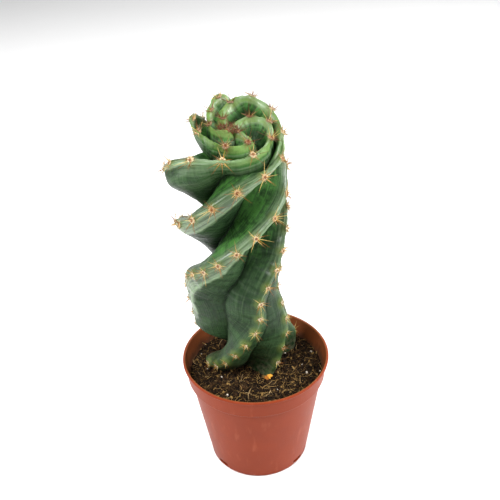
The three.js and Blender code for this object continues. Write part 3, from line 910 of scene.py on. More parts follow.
def areole_levels(k):
    """Where the areoles of one crest stand: level and distance travelled."""
    levels, _, travelled = crest_travel(k)
    found = []
    following = FIRST_AREOLE[k]
    for level, distance in zip(levels, travelled):
        if distance >= following:
            found.append((level, distance))
            pitch = mix(PITCH_LOW, PITCH_HIGH, held((distance - WIDENING_FROM) / WIDENING_OVER))
            following += PITCH_TOP if distance > TOP_STRETCH else pitch
    return found


RINGS_PER_LEVEL = 15
STEPS_PER_SIDE = 24
TIP_RINGS = (0.75, 0.5, 0.25)
TIP_SHARE = 0.8

# How many levels up and down a ring point looks for its nearest place on a crest
LEVELS_AROUND = 1.6


def stem_shape():
    """The stem's points and faces, then its rings, their shares and levels, and the stations."""
    half = np.linspace(0, 1, STEPS_PER_SIDE, endpoint=False)
    eased = 0.5 * mix(half, (1 - np.cos(half * math.pi)) / 2, 0.35)
    stations = sorted([*eased, 0.5, *(1 - eased[1:])])
    count = 4 * len(stations)
    levels = [i / RINGS_PER_LEVEL for i in range(TOP_LEVEL * RINGS_PER_LEVEL + 1)]
    rings, shares = [], []
    for level in levels:
        points, share = stem_ring(level, stations)
        rings.append(points)
        shares.append(share)
    tip_ring = np.array(rings[-1])
    tip = np.array((*level_row(TOP_LEVEL)[:2], TIP_Z))
    for shrink in TIP_RINGS:
        rings.append(list(map(tuple, tip + (tip_ring - tip) * (shrink, shrink, 1))))
        shares.append([TIP_SHARE] * count)
        levels.append(float(TOP_LEVEL))
    points = folded(np.array(rings, float), levels)
    flat = np.vstack([points.reshape(-1, 3), [[*level_row(0)[:2], STEM_FOOT_Z]], [tip]])
    faces = capped_faces(len(rings), count)
    return flat, faces, points, np.array(shares), np.array(levels), stations


def edge_distance(points, levels, stations):
    """How far every ring point lies from its rib's crest, positive on the rib's lower side, and how
    far along the crest its nearest place is."""
    per_gap = len(stations)
    rows, count = points.shape[:2]
    lines = [crest_travel(k) for k in range(4)]
    distance = np.zeros((rows, count))
    travel = np.zeros((rows, count))
    for i in range(rows):
        for k in range(4):
            crest_levels, crest_points, travelled = lines[k]
            near = [n for n, level in enumerate(crest_levels) if abs(level - levels[i]) < LEVELS_AROUND]
            line = np.array([crest_points[n] for n in near])
            length = np.array([travelled[n] for n in near])
            below = [k * per_gap + j for j in range(per_gap) if stations[j] <= 0.5]
            gap_before = (k + 3) % 4
            above = [gap_before * per_gap + j for j in range(per_gap) if stations[j] > 0.5]
            for indices, sign in ((below, 1.0), (above, -1.0)):
                gaps = np.linalg.norm(points[i, indices][:, None, :] - line[None], axis=2)
                nearest = gaps.argmin(1)
                distance[i, indices] = sign * gaps.min(1)
                travel[i, indices] = length[nearest]
    return distance, travel


def shelf_edges():
    """Points along the outer edge of each rib's shelf, where there is one, with its width."""
    found = []
    for k in range(4):
        for level in np.arange(4, 16, 0.05):
            shelf = ramp(SHELF[k], level)
            if shelf > 0.02:
                found.append((*Gap(k, level).at(shelf / 2)[0], shelf))
    return np.array(found)


def areole_place(k, level):
    """Where an areole stands: on the crest, or a little inside the edge of a free fin."""
    here = crest_point(k, level)
    inset = ramp(AREOLE_INSET[k], level)
    if inset == 0:
        return here
    inner = Vector(Gap((k + 3) % 4, level).at(INSET_STATION)[0])
    return here + (inner - here).normalized() * inset


def areole_frames():
    """Each areole's place, outward direction, direction along the crest, and how far along the
    crest it stands, in millimetres and as a share of the crest."""
    frames = []
    for k in range(4):
        total = crest_travel(k)[2][-1]
        for level, distance in areole_levels(k):
            here = areole_place(k, level)
            along = (crest_point(k, min(TOP_LEVEL, level + 0.1)) - crest_point(k, level - 0.1)).normalized()
            out = side_direction(k, level, along)
            frames.append((here, out, along, distance, distance / total))
    return frames


def side_direction(k, level, along):
    """Outward direction at a crest, square to the crest line."""
    sides = (0.12, 0.88)
    points, _ = stem_ring(level, sides)
    here = crest_point(k, level)
    below = Vector(points[2 * k]) - here
    above = Vector(points[2 * ((k + 3) % 4) + 1]) - here
    inward = (below.normalized() + above.normalized()) * 0.5
    out = -(inward - along * inward.dot(along))
    axis = level_row(level)
    away = Vector((here.x - axis[0], here.y - axis[1], 0)).normalized()
    rise = math.radians(ramp(AREOLE_RISE, level))
    wanted = away * math.cos(rise) + Vector((0, 0, math.sin(rise)))
    if out.length < 0.2:
        return wanted
    blended = out.normalized() * 0.5 + wanted
    return (blended - along * blended.dot(along) * 0.6).normalized()


def relief_tree():
    """Raises the skin at its areoles and rims, wrinkles and folds it, and creases its grooves."""
    graph, given = growth_tree("stem_relief", (
        ("Areole Rise", "NodeSocketFloat"), ("Rim Rise", "NodeSocketFloat"),
        ("Wrinkle Depth", "NodeSocketFloat"), ("Crease Depth", "NodeSocketFloat"),
        ("Finish", "NodeSocketMaterial"),
    ))
    place = graph.term("GeometryNodeInputPosition")
    wrinkle = graph.noise(place * (1.0, 1.0, 0.45), 130.0, 3.0, 0.55) - 0.5
    way = graph.xyz(field(graph, "travel") * 0.21, field(graph, "edge") * 0.035, 0.0)
    fold = graph.noise(way, 1.0, 2.0, 0.5, 0.4) - 0.5
    folded_skin = wrinkle * 0.6 + fold * (1.0 + field(graph, "ruffle"))
    amount = (
        field(graph, "mound") * given["Areole Rise"]
        + field(graph, "rim") * given["Rim Rise"]
        + folded_skin * given["Wrinkle Depth"] * field(graph, "panel")
        - field(graph, "crease") * given["Crease Depth"]
    )
    normal = graph.term("GeometryNodeInputNormal")
    raised = graph.term(
        "GeometryNodeSetPosition", {}, {"Geometry": given["Geometry"], "Offset": normal * amount}, "Geometry"
    )
    return close_tree(graph, raised, given["Finish"])


def skin(settings):
    """Waxy cactus skin: bloomed green panels, yellow-green areole rings and young tip, bands and rims
    lightened partly by painted sheen and highlight, crests and upper sides lightened by painted light, and
    painted shade in grooves, hollows and folds.
    """
    paint = Paint("cactus_skin", Specular_IOR_Level=0.16, Coat_Roughness=0.26, Coat_IOR=1.45)
    place = paint.place
    height = paint.part(place, 2)
    edge = paint.attribute("edge")
    hollow = paint.attribute("hollow")
    near = paint.attribute("areole_near")
    youth = paint.attribute("youth")
    travel = paint.attribute("travel")
    band = paint.attribute("band")
    ribs = paint.term("ShaderNodeUVMap", {"uv_map": "rib"}, {}, "UV")
    strands = paint.noise(ribs * (0.35, 6.0, 1.0), 9.0, 4, 0.6, 0.15)
    fine_strands = paint.noise(ribs * (0.6, 14.0, 1.0), 9.0, 3, 0.55, 0.2)
    folds = paint.noise(ribs * (3.2, 0.5, 1.0), 9.0, 4, 0.6, 0.3)
    clouds = paint.noise(place, 55, 4, 0.6)
    mottle = paint.noise(place, 300, 4, 0.65)
    base = paint.blend(paint.smooth(clouds, 0.3, 0.7), colour(settings.dark_skin_and_shade), colour(settings.body))
    bloom_mask = paint.smooth(clouds * 0.6 + mottle * 0.4, 0.38, 0.64)
    base = paint.blend(bloom_mask * 0.5, base, colour(settings.bloom))
    base = paint.blend(paint.smooth(strands, 0.5, 0.68) * 0.5, base, colour(settings.bloom))
    base = paint.blend(paint.smooth(fine_strands, 0.48, 0.62) * 0.45, base, colour(settings.dark_skin_and_shade))
    # Painted shade: the skin is darkened in its folds.
    base = paint.blend(paint.smooth(folds, 0.5, 0.62) * 0.5, base, colour(settings.dark_skin_and_shade))
    base = paint.blend(paint.smooth(youth, 0.66, 0.92) * 0.85, base, colour(settings.young))
    # More painted shade in the folds of the young skin round the tip.
    base = paint.blend(
        paint.smooth(folds, 0.47, 0.58) * paint.smooth(youth, 0.7, 0.9) * 0.85, base, colour(settings.dark_skin_and_shade)
    )
    # Painted light: the upper sides of the older ribs, which face up towards the light, are lightened towards
    # the young green in patches.
    painted_light_upper_sides = paint.smooth(edge, -2.5, -9.0) * paint.smooth(travel, 110.0, 170.0)
    patches = paint.smooth(clouds * 0.35 + mottle * 0.25 + strands * 0.4, 0.44, 0.56)
    base = paint.blend(painted_light_upper_sides * (0.15 + patches * 0.75), base, colour(settings.young))
    # Painted highlight: the lower sides of the young ribs are lightened in streaks with the band colour.
    outer = paint.smooth(edge, 1.5, 4.0) * paint.smooth(youth, 0.62, 0.78)
    base = paint.blend(outer * paint.smooth(strands, 0.4, 0.6) * 0.45, base, colour(settings.band))
    # Painted highlight: the skin is lightened along each crest.
    away = paint.maths("ABSOLUTE", edge)
    crest = paint.smooth(away, 5.5, 1.0)
    base = paint.blend(crest * 0.3, base, colour(settings.crest))
    # At the crown: a painted highlight on the crests, partly their real fresh green, and painted shade in the
    # skin between them.
    fresh_and_highlight = paint.smooth(youth, 0.7, 0.85)
    base = paint.blend(fresh_and_highlight * paint.smooth(away, 5.5, 3.0) * 0.7, base, colour(settings.fresh_and_highlight))
    base = paint.blend(fresh_and_highlight * paint.smooth(away, 5.5, 10.0) * 0.75, base, colour(settings.dark_skin_and_shade))
    # Partly the bands' real paler green, partly painted sheen: the bands below and above the crests are
    # lightened, most in streaks.
    streaks = paint.smooth(strands, 0.42, 0.62)
    base = paint.blend(band * (0.12 + streaks * 0.6), base, colour(settings.band))
    base = paint.blend(paint.smooth(near, 6.0, 2.0) * 0.6, base, colour(settings.halo))
    # Partly a real pale edge, partly painted highlight: the line along each shelf's edge is lightened.
    base = paint.blend(paint.attribute("rim") * 0.75, base, colour(settings.rim))
    # Painted shade: a dark line along each groove's bottom, and darkening where the skin sinks towards the
    # grooves.
    base = paint.blend(paint.attribute("crease") * 0.75, base, colour(settings.dark_skin_and_shade))
    base = paint.blend(hollow * 0.2, base, colour(settings.dark_skin_and_shade))
    old = paint.smooth(height, 0.1, 0.07) * paint.smooth(mottle, 0.4, 0.65)
    base = paint.blend(old * 0.6, base, colour(settings.corky))
    paint.bump(strands * 0.6 + fine_strands * 0.4 - folds * (0.8 + youth * 1.6) + mottle * 0.3, 0.0012, 0.6)
    return paint.finish(
        Base_Color=base,
        Roughness=0.36 + bloom_mask * 0.16 + mottle * 0.08,
        Coat_Weight=0.06 + band * 0.6,
    )


# Areoles and spines


# A spine along its length: how far up, and how thick against its given thickness
SPINE_PROFILE = ((0.0, 1.1), (0.05, 1.15), (0.14, 0.9), (0.5, 0.66), (0.8, 0.36))
SPINE_SIDES = 5


def spine_shape():
    """A straight needle one unit long with a swollen root."""
    points = []
    for t, width in SPINE_PROFILE:
        for j in range(SPINE_SIDES):
            turn = 2 * math.pi * j / SPINE_SIDES
            points.append((width * math.cos(turn), width * math.sin(turn), t))
    last = len(points) - SPINE_SIDES
    points.append((0, 0, 1))
    faces = loft_faces(len(SPINE_PROFILE), SPINE_SIDES)
    faces += [(last + j, last + (j + 1) % SPINE_SIDES, len(points) - 1) for j in range(SPINE_SIDES)]
    faces.append(tuple(reversed(range(SPINE_SIDES))))
    mesh = bpy.data.meshes.new("spine_shape")
    mesh.from_pydata(points, [], faces)
    mesh.shade_smooth()
    obj = linked("spine_shape", mesh)
    add_numbers(obj, "tip", [height for _, _, height in points])
    return obj


def areole_host(name):
    """One vertex for each areole, with the measures that its pad and spines follow."""
    places = areole_sites()
    obj = new_object(name, [site["place"] for site in places], [])
    add_numbers(obj, "facing", [tuple(site["facing"]) for site in places], "FLOAT_VECTOR")
    add_numbers(obj, "along", [tuple(site["along"]) for site in places], "FLOAT_VECTOR")
    for key in ("size", "youth", "grey", "reach"):
        add_numbers(obj, key, [site[key] for site in places])
    add_numbers(obj, "spines", [site["spines"] for site in places], "INT")
    return obj


def areole_sites():
    """The areoles of all four crests, and the crowd of new ones at the growing tip."""
    draw = random.Random(71)
    sites = []
    for place, facing, along, distance, age in areole_frames():
        grown = held((distance - GROWN_FROM) / GROWN_OVER)
        sites.append({
            "place": tuple(place + facing * 0.35),
            "facing": facing,
            "along": along,
            "size": mix(1.5, 2.5, grown) * mix(0.88, 1.12, draw.random()),
            "youth": max(0.0, (age - 0.55) / 0.45),
            "grey": 1 - grown,
            "reach": mix(5.4, 10.0, grown),
            "spines": 10 + int(grown * 3.0 + 2.0 * draw.random()),
        })
    tip = Vector((*level_row(TOP_LEVEL)[:2], NEW_AREOLES_Z))
    for i in range(NEW_AREOLES):
        turn = math.radians(NEW_AREOLES_TURN * i)
        spread = 1.2 + 6.0 * math.sqrt(i / NEW_AREOLES)
        out = Vector((math.cos(turn), math.sin(turn), 0))
        facing = (Vector((0, 0, 1)) + out * (0.12 * spread)).normalized()
        sites.append({
            "place": tuple(tip + out * spread + Vector((0, 0, 0.6 - 0.02 * spread * spread))),
            "facing": facing,
            "along": out,
            "size": 1.1,
            "youth": 1.0,
            "grey": 0.0,
            "reach": 4.2,
            "spines": 8,
        })
    return sites


def unit_frame(graph):
    """The areole's outward, along and across directions, as fields."""
    out = graph.vectors("NORMALIZE", field(graph, "facing", "FLOAT_VECTOR"))
    along = field(graph, "along", "FLOAT_VECTOR")
    across = graph.vectors("NORMALIZE", graph.vectors("CROSS_PRODUCT", out, along))
    square = graph.vectors("CROSS_PRODUCT", across, out)
    return out, square, across


def aligned(graph, direction, spin):
    """A rotation that turns Z to a direction, after a spin about Z."""
    turned = graph.term(
        "FunctionNodeAlignRotationToVector", {"axis": "Z"}, {"Vector": direction}, "Rotation"
    )
    about = graph.term("FunctionNodeAxisAngleToRotation", {}, {"Axis": (0, 0, 1), "Angle": spin}, "Rotation")
    return graph.term(
        "FunctionNodeRotateRotation", {"rotation_space": "LOCAL"}, {"Rotation": turned, "Rotate By": about},
        "Rotation",
    )


def duplicated(graph, geometry, amount):
    copies = graph.node(
        "GeometryNodeDuplicateElements", {"domain": "POINT"}, {"Geometry": geometry, "Amount": amount}
    )
    return Term(graph, pick(copies.outputs, "Geometry")), Term(graph, pick(copies.outputs, "Duplicate Index"))


def as_points(graph, geometry):
    return graph.term("GeometryNodeMeshToPoints", {"mode": "VERTICES"}, {"Mesh": geometry}, "Points")


def pad_tree():
    """A felt pad on each areole."""
    graph, given = growth_tree("areole_pads", (
        ("Shape", "NodeSocketObject"), ("Pad Size", "NodeSocketFloat"), ("Finish", "NodeSocketMaterial"),
    ))
    out, _, _ = unit_frame(graph)
    points = as_points(graph, given["Geometry"])
    rotation = aligned(graph, out, chance(graph, 0.0, ANY_SPIN, 3))
    scale = graph.xyz(1.0, 1.0, 1.0) * (field(graph, "size") * given["Pad Size"])
    return shapes_on_points(graph, given, points, rotation, scale, 5)


def bristle_tree(name, per_areole):
    """Needles or hairs that lean out of each areole all round, the first one standing upright."""
    graph, given = growth_tree(name, (
        ("Shape", "NodeSocketObject"), ("Count", "NodeSocketInt"), ("Length", "NodeSocketFloat"),
        ("Thickness", "NodeSocketFloat"), ("Lean", "NodeSocketFloat"), ("Spread", "NodeSocketFloat"),
        ("Seed", "NodeSocketInt"), ("Finish", "NodeSocketMaterial"),
    ))
    amount = field(graph, "spines", "INT") if per_areole else given["Count"]
    points, number = duplicated(graph, as_points(graph, given["Geometry"]), amount)
    seed = given["Seed"]
    out, along, across = unit_frame(graph)
    upright = graph.maths("LESS_THAN", number, 0.5)
    if per_areole:
        turn = number * (FULL_TURN / (amount - 1.0))
    else:
        turn = chance(graph, 0.0, FULL_TURN, seed + 1.0)
    turn = turn + chance(graph, -0.4, 0.4, seed + 2.0)
    lean = given["Lean"] * chance(graph, 0.5, 1.35, seed + 3.0) * (1.0 - upright * 0.8)
    sideways = along * graph.maths("COSINE", turn) + across * graph.maths("SINE", turn)
    direction = out * graph.maths("COSINE", lean) + sideways * graph.maths("SINE", lean)
    root = sideways * (given["Spread"] * field(graph, "size") * (1.0 - upright * 0.9))
    root = root * chance(graph, 0.5, 1.0, seed + 4.0)
    moved = graph.term("GeometryNodeSetPosition", {}, {"Geometry": points, "Offset": root}, "Geometry")
    length = given["Length"] * field(graph, "reach") * chance(graph, 0.35, 1.2, seed + 5.0)
    rotation = aligned(graph, direction, chance(graph, 0.0, ANY_SPIN, seed + 6.0))
    scale = graph.xyz(given["Thickness"], given["Thickness"], length)
    return shapes_on_points(graph, given, moved, rotation, scale, seed + 7.0)


def felt(settings):
    """Areole wool: cream with a rusty middle, greyer on old areoles and red-brown on new ones."""
    paint = Paint("areole_felt", Specular_IOR_Level=0.15)
    fluff = paint.noise(paint.place, 2200, 4, 0.7)
    tint = paint.attribute("tint")
    base = paint.blend(
        paint.smooth(fluff + tint * 0.2, 0.4, 0.75), colour(settings.felt_shade), colour(settings.felt)
    )
    base = paint.blend(paint.attribute("grey") * 0.8, base, colour(settings.felt_old))
    youth = paint.smooth(paint.attribute("youth"), 0.5, 1.0)
    base = paint.blend(youth * 0.75, base, colour(settings.felt_new))
    middle = paint.smooth(paint.attribute("middle") + (fluff - 0.5) * 0.7, 0.3, 0.7)
    base = paint.blend(middle * 0.9, base, colour(settings.felt_middle))
    paint.bump(fluff, 0.0009, 0.9)
    return paint.finish(Base_Color=base, Roughness=0.85 + fluff * 0.1)


def horn(settings):
    """Spine horn: amber at the root, browner to the tip, some pale, red-brown while young."""
    paint = Paint("spine_horn", Specular_IOR_Level=0.25)
    tip = paint.attribute("tip")
    tint = paint.attribute("tint")
    youth = paint.attribute("youth")
    rings = paint.noise(paint.place, 1800, 2, 0.5)
    browned = paint.smooth(tip + tint * 0.5, 0.25, 1.0)
    old = paint.blend(browned, colour(settings.spine), colour(settings.spine_tip))
    old = paint.blend(paint.smooth(tint, 0.28, 0.2) * 0.8, old, colour(settings.spine_pale))
    base = paint.blend(paint.smooth(youth + tint * 0.5, 0.75, 1.2), old, colour(settings.spine_new))
    base = paint.blend(rings * 0.3, base, colour(settings.spine_tip))
    return paint.finish(Base_Color=base, Roughness=0.32 + rings * 0.2)


# Sizes and colours that a user would change


def distance(name, description, default):
    return FloatProperty(name=name, description=description, default=default, unit="LENGTH", precision=4)


def tone(name, description, default):
    return FloatVectorProperty(
        name=name, description=description, default=default, subtype="COLOR", size=3, min=0, max=1
    )


class PotSettings(bpy.types.PropertyGroup):
    body: tone("Plastic", "Main colour of the pot", (0.235, 0.037, 0.011))
    shade: tone("Darker plastic", "Colour of the pot's darker clouds", (0.175, 0.027, 0.009))
    worn: tone("Scuffs", "Colour of scuffs and flow marks", (0.36, 0.095, 0.045))
    inside: tone("Inside", "Colour of the inner wall", (0.22, 0.085, 0.03))


class MixSettings(bpy.types.PropertyGroup):
    dark: tone("Dark peat", "Colour of the wettest peat", (0.008, 0.0045, 0.0025))
    brown: tone("Brown peat", "Colour of drier crumbs", (0.04, 0.02, 0.008))
    light: tone("Light bits", "Colour of straw and bark bits", (0.38, 0.23, 0.075))
    crumbs: FloatProperty(name="Crumbs", description="Crumbs for each square metre", default=480000.0)
    fibres: FloatProperty(name="Fibres", description="Fibres for each square metre", default=150000.0)
    white: FloatProperty(name="White grit", description="Grit grains for each square metre", default=3500.0)


class StemSettings(bpy.types.PropertyGroup):
    # Deep green is darker skin and also the painted shade in grooves, hollows and folds.
    dark_skin_and_shade: tone("Deep green", "Colour of grooves and darker skin", (0.006, 0.018, 0.006))
    body: tone("Green", "Main colour of the skin", (0.019, 0.06, 0.017))
    bloom: tone("Bloom", "Colour of the waxy bloom", (0.05, 0.09, 0.037))
    young: tone("Young growth", "Colour near the growing tip", (0.06, 0.19, 0.035))
    # Fresh crest is partly the crests' real fresh green and partly a painted highlight.
    fresh_and_highlight: tone("Fresh crest", "Colour of the crests round the tip", (0.17, 0.29, 0.07))
    # Crest is a painted highlight along the rib edges.
    crest: tone("Crest", "Colour along the rib edges", (0.07, 0.14, 0.035))
    halo: tone("Areole ring", "Colour of the skin round the areoles", (0.12, 0.16, 0.035))
    # Band is partly the band's own paler green and partly painted sheen.
    band: tone("Band", "Colour of the flat band below each crest", (0.19, 0.27, 0.15))
    # Rim line is partly a real pale edge and partly a painted highlight.
    rim: tone("Rim line", "Colour of the pale line below each crest", (0.22, 0.34, 0.17))
    corky: tone("Old skin", "Colour of corky patches near the soil", (0.14, 0.13, 0.08))
    areole_rise: distance("Areole rise", "How far the skin swells under an areole", 0.0007)
    rim_rise: distance("Rim rise", "How far the line below a crest stands out", 0.0004)
    wrinkles: distance("Wrinkles", "Depth of the skin's wrinkles", 0.0011)
    creases: distance("Creases", "Depth of the line along the bottom of each groove", 0.0004)


class ArmourSettings(bpy.types.PropertyGroup):
    felt: tone("Felt", "Colour of the areole wool", (0.82, 0.7, 0.45))
    felt_shade: tone("Felt shade", "Colour in the wool's depth", (0.4, 0.22, 0.08))
    felt_middle: tone("Felt middle", "Colour in the middle of each areole", (0.16, 0.045, 0.015))
    felt_old: tone("Old felt", "Colour of the oldest areoles", (0.85, 0.8, 0.6))
    felt_new: tone("New felt", "Colour of the areoles at the tip", (0.13, 0.035, 0.015))
    spine: tone("Spine", "Colour at the spine's root", (0.5, 0.24, 0.025))
    spine_tip: tone("Spine tip", "Colour at the spine's tip", (0.2, 0.065, 0.01))
    spine_pale: tone("Pale spine", "Colour of the palest spines", (0.8, 0.6, 0.2))
    spine_new: tone("New spine", "Colour of the spines at the tip", (0.08, 0.018, 0.006))
    thickness: distance("Spine thickness", "Radius of a spine near its root", 0.00018)
    length: FloatProperty(name="Spine length", description="Factor on all spine lengths", default=1.0)


class StageSettings(bpy.types.PropertyGroup):
    floor: tone("Floor", "Colour of the floor", (0.9, 0.9, 0.9))
    distance: distance("Camera distance", "From the camera to the point it looks at", 0.6)
    pitch: FloatProperty(
        name="Camera pitch", description="How far the camera looks down", default=math.radians(33.3),
        subtype="ANGLE",
    )
    roll: FloatProperty(
        name="Camera roll", description="How far the camera leans", default=math.radians(-2.6),
        subtype="ANGLE",
    )
    lens: FloatProperty(name="Lens", description="Focal length in millimetres", default=64.8)


# The stage: the floor in millimetres, the light in metres and watts, and the point that the camera
# looks at, as millimetres to the right of the pot's axis and up
FLOOR_HALF = 6000
WORLD_STRENGTH = 0.14
LAMP_AIM = (0, 0, 0.17)
LAMPS = (
    ("front", (-0.35, -0.55, 1.05), 0.4, 11.0),
    ("low front", (0.25, -0.95, 0.62), 0.5, 2.0),
    ("near right", (0.75, -0.35, 0.75), 0.4, 4.5),
    ("right", (0.97, 0.0, 0.6), 0.45, 12.0),
    ("left", (-0.97, 0.0, 0.6), 0.45, 10.0),
    ("back right", (0.69, 0.69, 0.68), 0.45, 7.0),
    ("back left", (-0.3, 0.7, 0.95), 0.45, 4.0),
)
CAMERA_AIM = (-0.6, 177.5)


# Operators


def dress(obj, slot, *nodes):
    """Hangs a finished piece on the one body and hides the imported parts that it stands for."""
    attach(obj, "root")
    if nodes:
        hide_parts(*nodes)


class MakePot(bpy.types.Operator):
    """Turns the pot, cuts its foot arches and drain slots, and gives it its plastic"""

    bl_idname = "spiral_cactus.make_pot"
    bl_label = "Make pot"

    def execute(self, context):
        outline = rounded(POT_OUTLINE)
        points, faces = lathe(outline, POT_SIDES)
        pot = new_object("nursery_pot", points, faces)
        lip = max(range(len(outline)), key=lambda i: outline[i][1])
        inner = [float(i > lip) for i in range(1, len(outline) - 1)]
        add_numbers(pot, "inner", np.append(np.repeat(inner, POT_SIDES), (0.0, 1.0)))
        for angle in FOOT_ARCH_ANGLES:
            cut(pot, *arch_shape(angle))
            for side in (-1, 1):
                for near, far, top in SLOT_CUTS:
                    cut(pot, slot_points(near, far, top, angle + side * SLOT_OFFSET), SLOT_FACES)
        pot.data.materials.clear()
        pot.data.materials.append(pot_plastic(context.scene.cactus_pot))
        pot.data.shade_smooth()
        pot.data.set_sharp_from_angle(angle=math.radians(POT_SHARP_ANGLE))
        dress(pot, "pot_plastic", "pot")
        return {"FINISHED"}


class MakeMix(bpy.types.Operator):
    """Fills the pot with potting mix and scatters crumbs, fibres and grit over it"""

    bl_idname = "spiral_cactus.make_mix"
    bl_label = "Make potting mix"

    def execute(self, context):
        tones = context.scene.cactus_mix
        dark, brown, light = tuple(tones.dark), tuple(tones.brown), tuple(tones.light)
        body = new_object("potting_mix", *mix_shape(), peat("peat_bed", dark, brown, light, 0.8))
        dress(body, "potting_mix", "soil")
        tree = scatter_tree("scattered_grains")
        crumb = lump_shape("crumb_shape", 1, (1.0, 0.8, 0.6), 0.55, 3)
        fibre = fibre_shape("fibre_shape", 0.12)
        chip = lump_shape("chip_shape", 1, (1.2, 0.6, 0.25), 0.4, 5)
        grain = lump_shape("grain_shape", 2, (1.0, 0.9, 0.8), 0.25, 8)
        crumbs = peat("peat_crumbs", dark, brown, light, 0.75)
        flakes = peat("dry_flakes", (0.28, 0.1, 0.015), (0.7, 0.32, 0.04), (0.85, 0.6, 0.2), 0.6)
        straw = peat("straw", brown, light, (0.5, 0.36, 0.2), 0.6)
        kinds = (
            ("peat_crumbs", crumb, tones.crumbs, 0.0007, 0.0034, 3.1, 0.0002, 21, crumbs),
            ("bark_chips", chip, tones.crumbs * 0.06, 0.0016, 0.005, 0.5, 0.0008, 22, crumbs),
            ("straw_fibres", fibre, tones.fibres, 0.002, 0.009, 0.35, 0.001, 23, straw),
            ("white_grit", grain, tones.white, 0.0007, 0.0022, 3.1, 0.0007, 24, grit()),
            ("dry_flakes", chip, FLAKES, 0.002, 0.0048, 0.9, 0.0014, 25, flakes),
        )
        for name, shape, density, smallest, largest, tilt, lift, seed, finish in kinds:
            host = foot_patch(name) if name == "dry_flakes" else top_patch(name)
            grow(
                host, tree, shape=shape, density=density, smallest=smallest, largest=largest,
                tilt=tilt, lift=lift, seed=seed, finish=finish,
            )
            dress(host, "potting_mix", "soil")
        for shape in (crumb, fibre, chip, grain):
            delete(shape)
        return {"FINISHED"}


class MakeStem(bpy.types.Operator):
    """Lofts the twisted ribs, swells the skin at its areoles and gives it its finish"""

    bl_idname = "spiral_cactus.make_stem"
    bl_label = "Make stem"

    def execute(self, context):
        settings = context.scene.cactus_stem
        flat, faces, points, shares, levels, stations = stem_shape()
        stem = new_object("cactus_stem", flat, faces)
        edge, travel = edge_distance(points, levels, stations)
        per_vertex = self.measures(points, shares, levels, stations, edge, travel)
        for name, values in per_vertex.items():
            add_numbers(stem, name, np.concatenate([values.ravel(), [0.0, 0.0]]))
        self.unwrap(stem, edge, travel, points.shape[1], len(stations))
        grow(
            stem, relief_tree(), areole_rise=settings.areole_rise, rim_rise=settings.rim_rise,
            wrinkle_depth=settings.wrinkles, crease_depth=settings.creases, finish=skin(settings),
        )
        dress(stem, "cactus_skin", "cactus")
        return {"FINISHED"}

    def measures(self, points, shares, levels, stations, edge, travel):
        """Numbers that the relief and the skin's finish follow."""
        frames = areole_frames()
        tree = KDTree(len(frames))
        for number, (place, *_) in enumerate(frames):
            tree.insert(place, number)
        tree.balance()
        near = np.array([tree.find(point)[2] for point in points.reshape(-1, 3)])
        near = near.reshape(edge.shape)
        shelves = shelf_edges()
        off = np.array([
            np.linalg.norm(ring[:, None, :] - shelves[None, :, :3], axis=2).min(1) for ring in points
        ])
        fade = np.interp(levels, (4.5, 6, 14, 16), (0, 1, 1, 0))[:, None] * (edge >= 0)
        per_gap = len(stations)
        grooves = np.repeat(points[:, stations.index(0.5)::per_gap], per_gap, axis=1)
        off_groove = np.linalg.norm(points - grooves, axis=2)
        down = np.array([softened(2 * station) if station <= 0.5 else 9.0 for station in stations])
        ruffle = np.zeros(edge.shape)
        ruffle[:, :per_gap] = np.interp(levels, (5, 7, 11, 13), (0, 2.5, 2.5, 0))[:, None]
        ruffle += np.interp(levels, (14, 16), (0, 1.5))[:, None]
        widths = np.array([[ramp(SHELF[k], level) for k in range(4)] for level in levels])
        on_shelf = (down[None, None, :] <= widths[:, :, None]).reshape(edge.shape)
        lower_band = np.where(on_shelf, 1.0, np.exp(-((off / 1.2) ** 2)) * (edge >= 0))
        upper_band = np.clip((edge + 8) / 6, 0, 1) * (edge < 0)
        upper_band = upper_band * np.interp(levels, (7, 9), (0.1, 1))[:, None]
        return {
            "edge": edge,
            # The bands carry painted sheen, the rims a raised edge and a painted highlight, and the creases
            # and hollows painted shade.
            "travel": travel,
            "crease": np.exp(-((off_groove / 0.9) ** 2)),
            "band": np.clip(lower_band * (fade > 0) + upper_band, 0, 1),
            "areole_near": near,
            "mound": np.exp(-((near / 3.4) ** 2)),
            "rim": np.exp(-((off / 0.9) ** 2)) * fade,
            "hollow": np.clip(1 - shares / 0.35, 0, 1),
            "panel": np.clip(near / 5, 0, 1),
            "ruffle": ruffle,
            "youth": travel / travel.max(),
        }

    def unwrap(self, stem, edge, travel, count, per_gap):
        """A map with the way along a rib in U and the distance from its crest in V, in decimetres."""
        layer = stem.data.uv_layers.new(name="rib")
        rows = edge.shape[0]
        values = np.zeros((len(stem.data.loops), 2))
        for face in stem.data.polygons:
            corners = [stem.data.loops[i].vertex_index for i in face.loop_indices]
            if max(corners) >= rows * count:
                continue
            columns = [corner % count for corner in corners]
            low_side = all(edge[corner // count, corner % count] >= 0 for corner in corners)
            for loop, corner, column in zip(face.loop_indices, corners, columns):
                row = corner // count
                across = edge[row, column]
                if not low_side and across > 0:
                    across = -across
                values[loop] = (travel[row, column] * DECIMETRE, across * DECIMETRE)
        layer.data.foreach_set("uv", values.ravel())


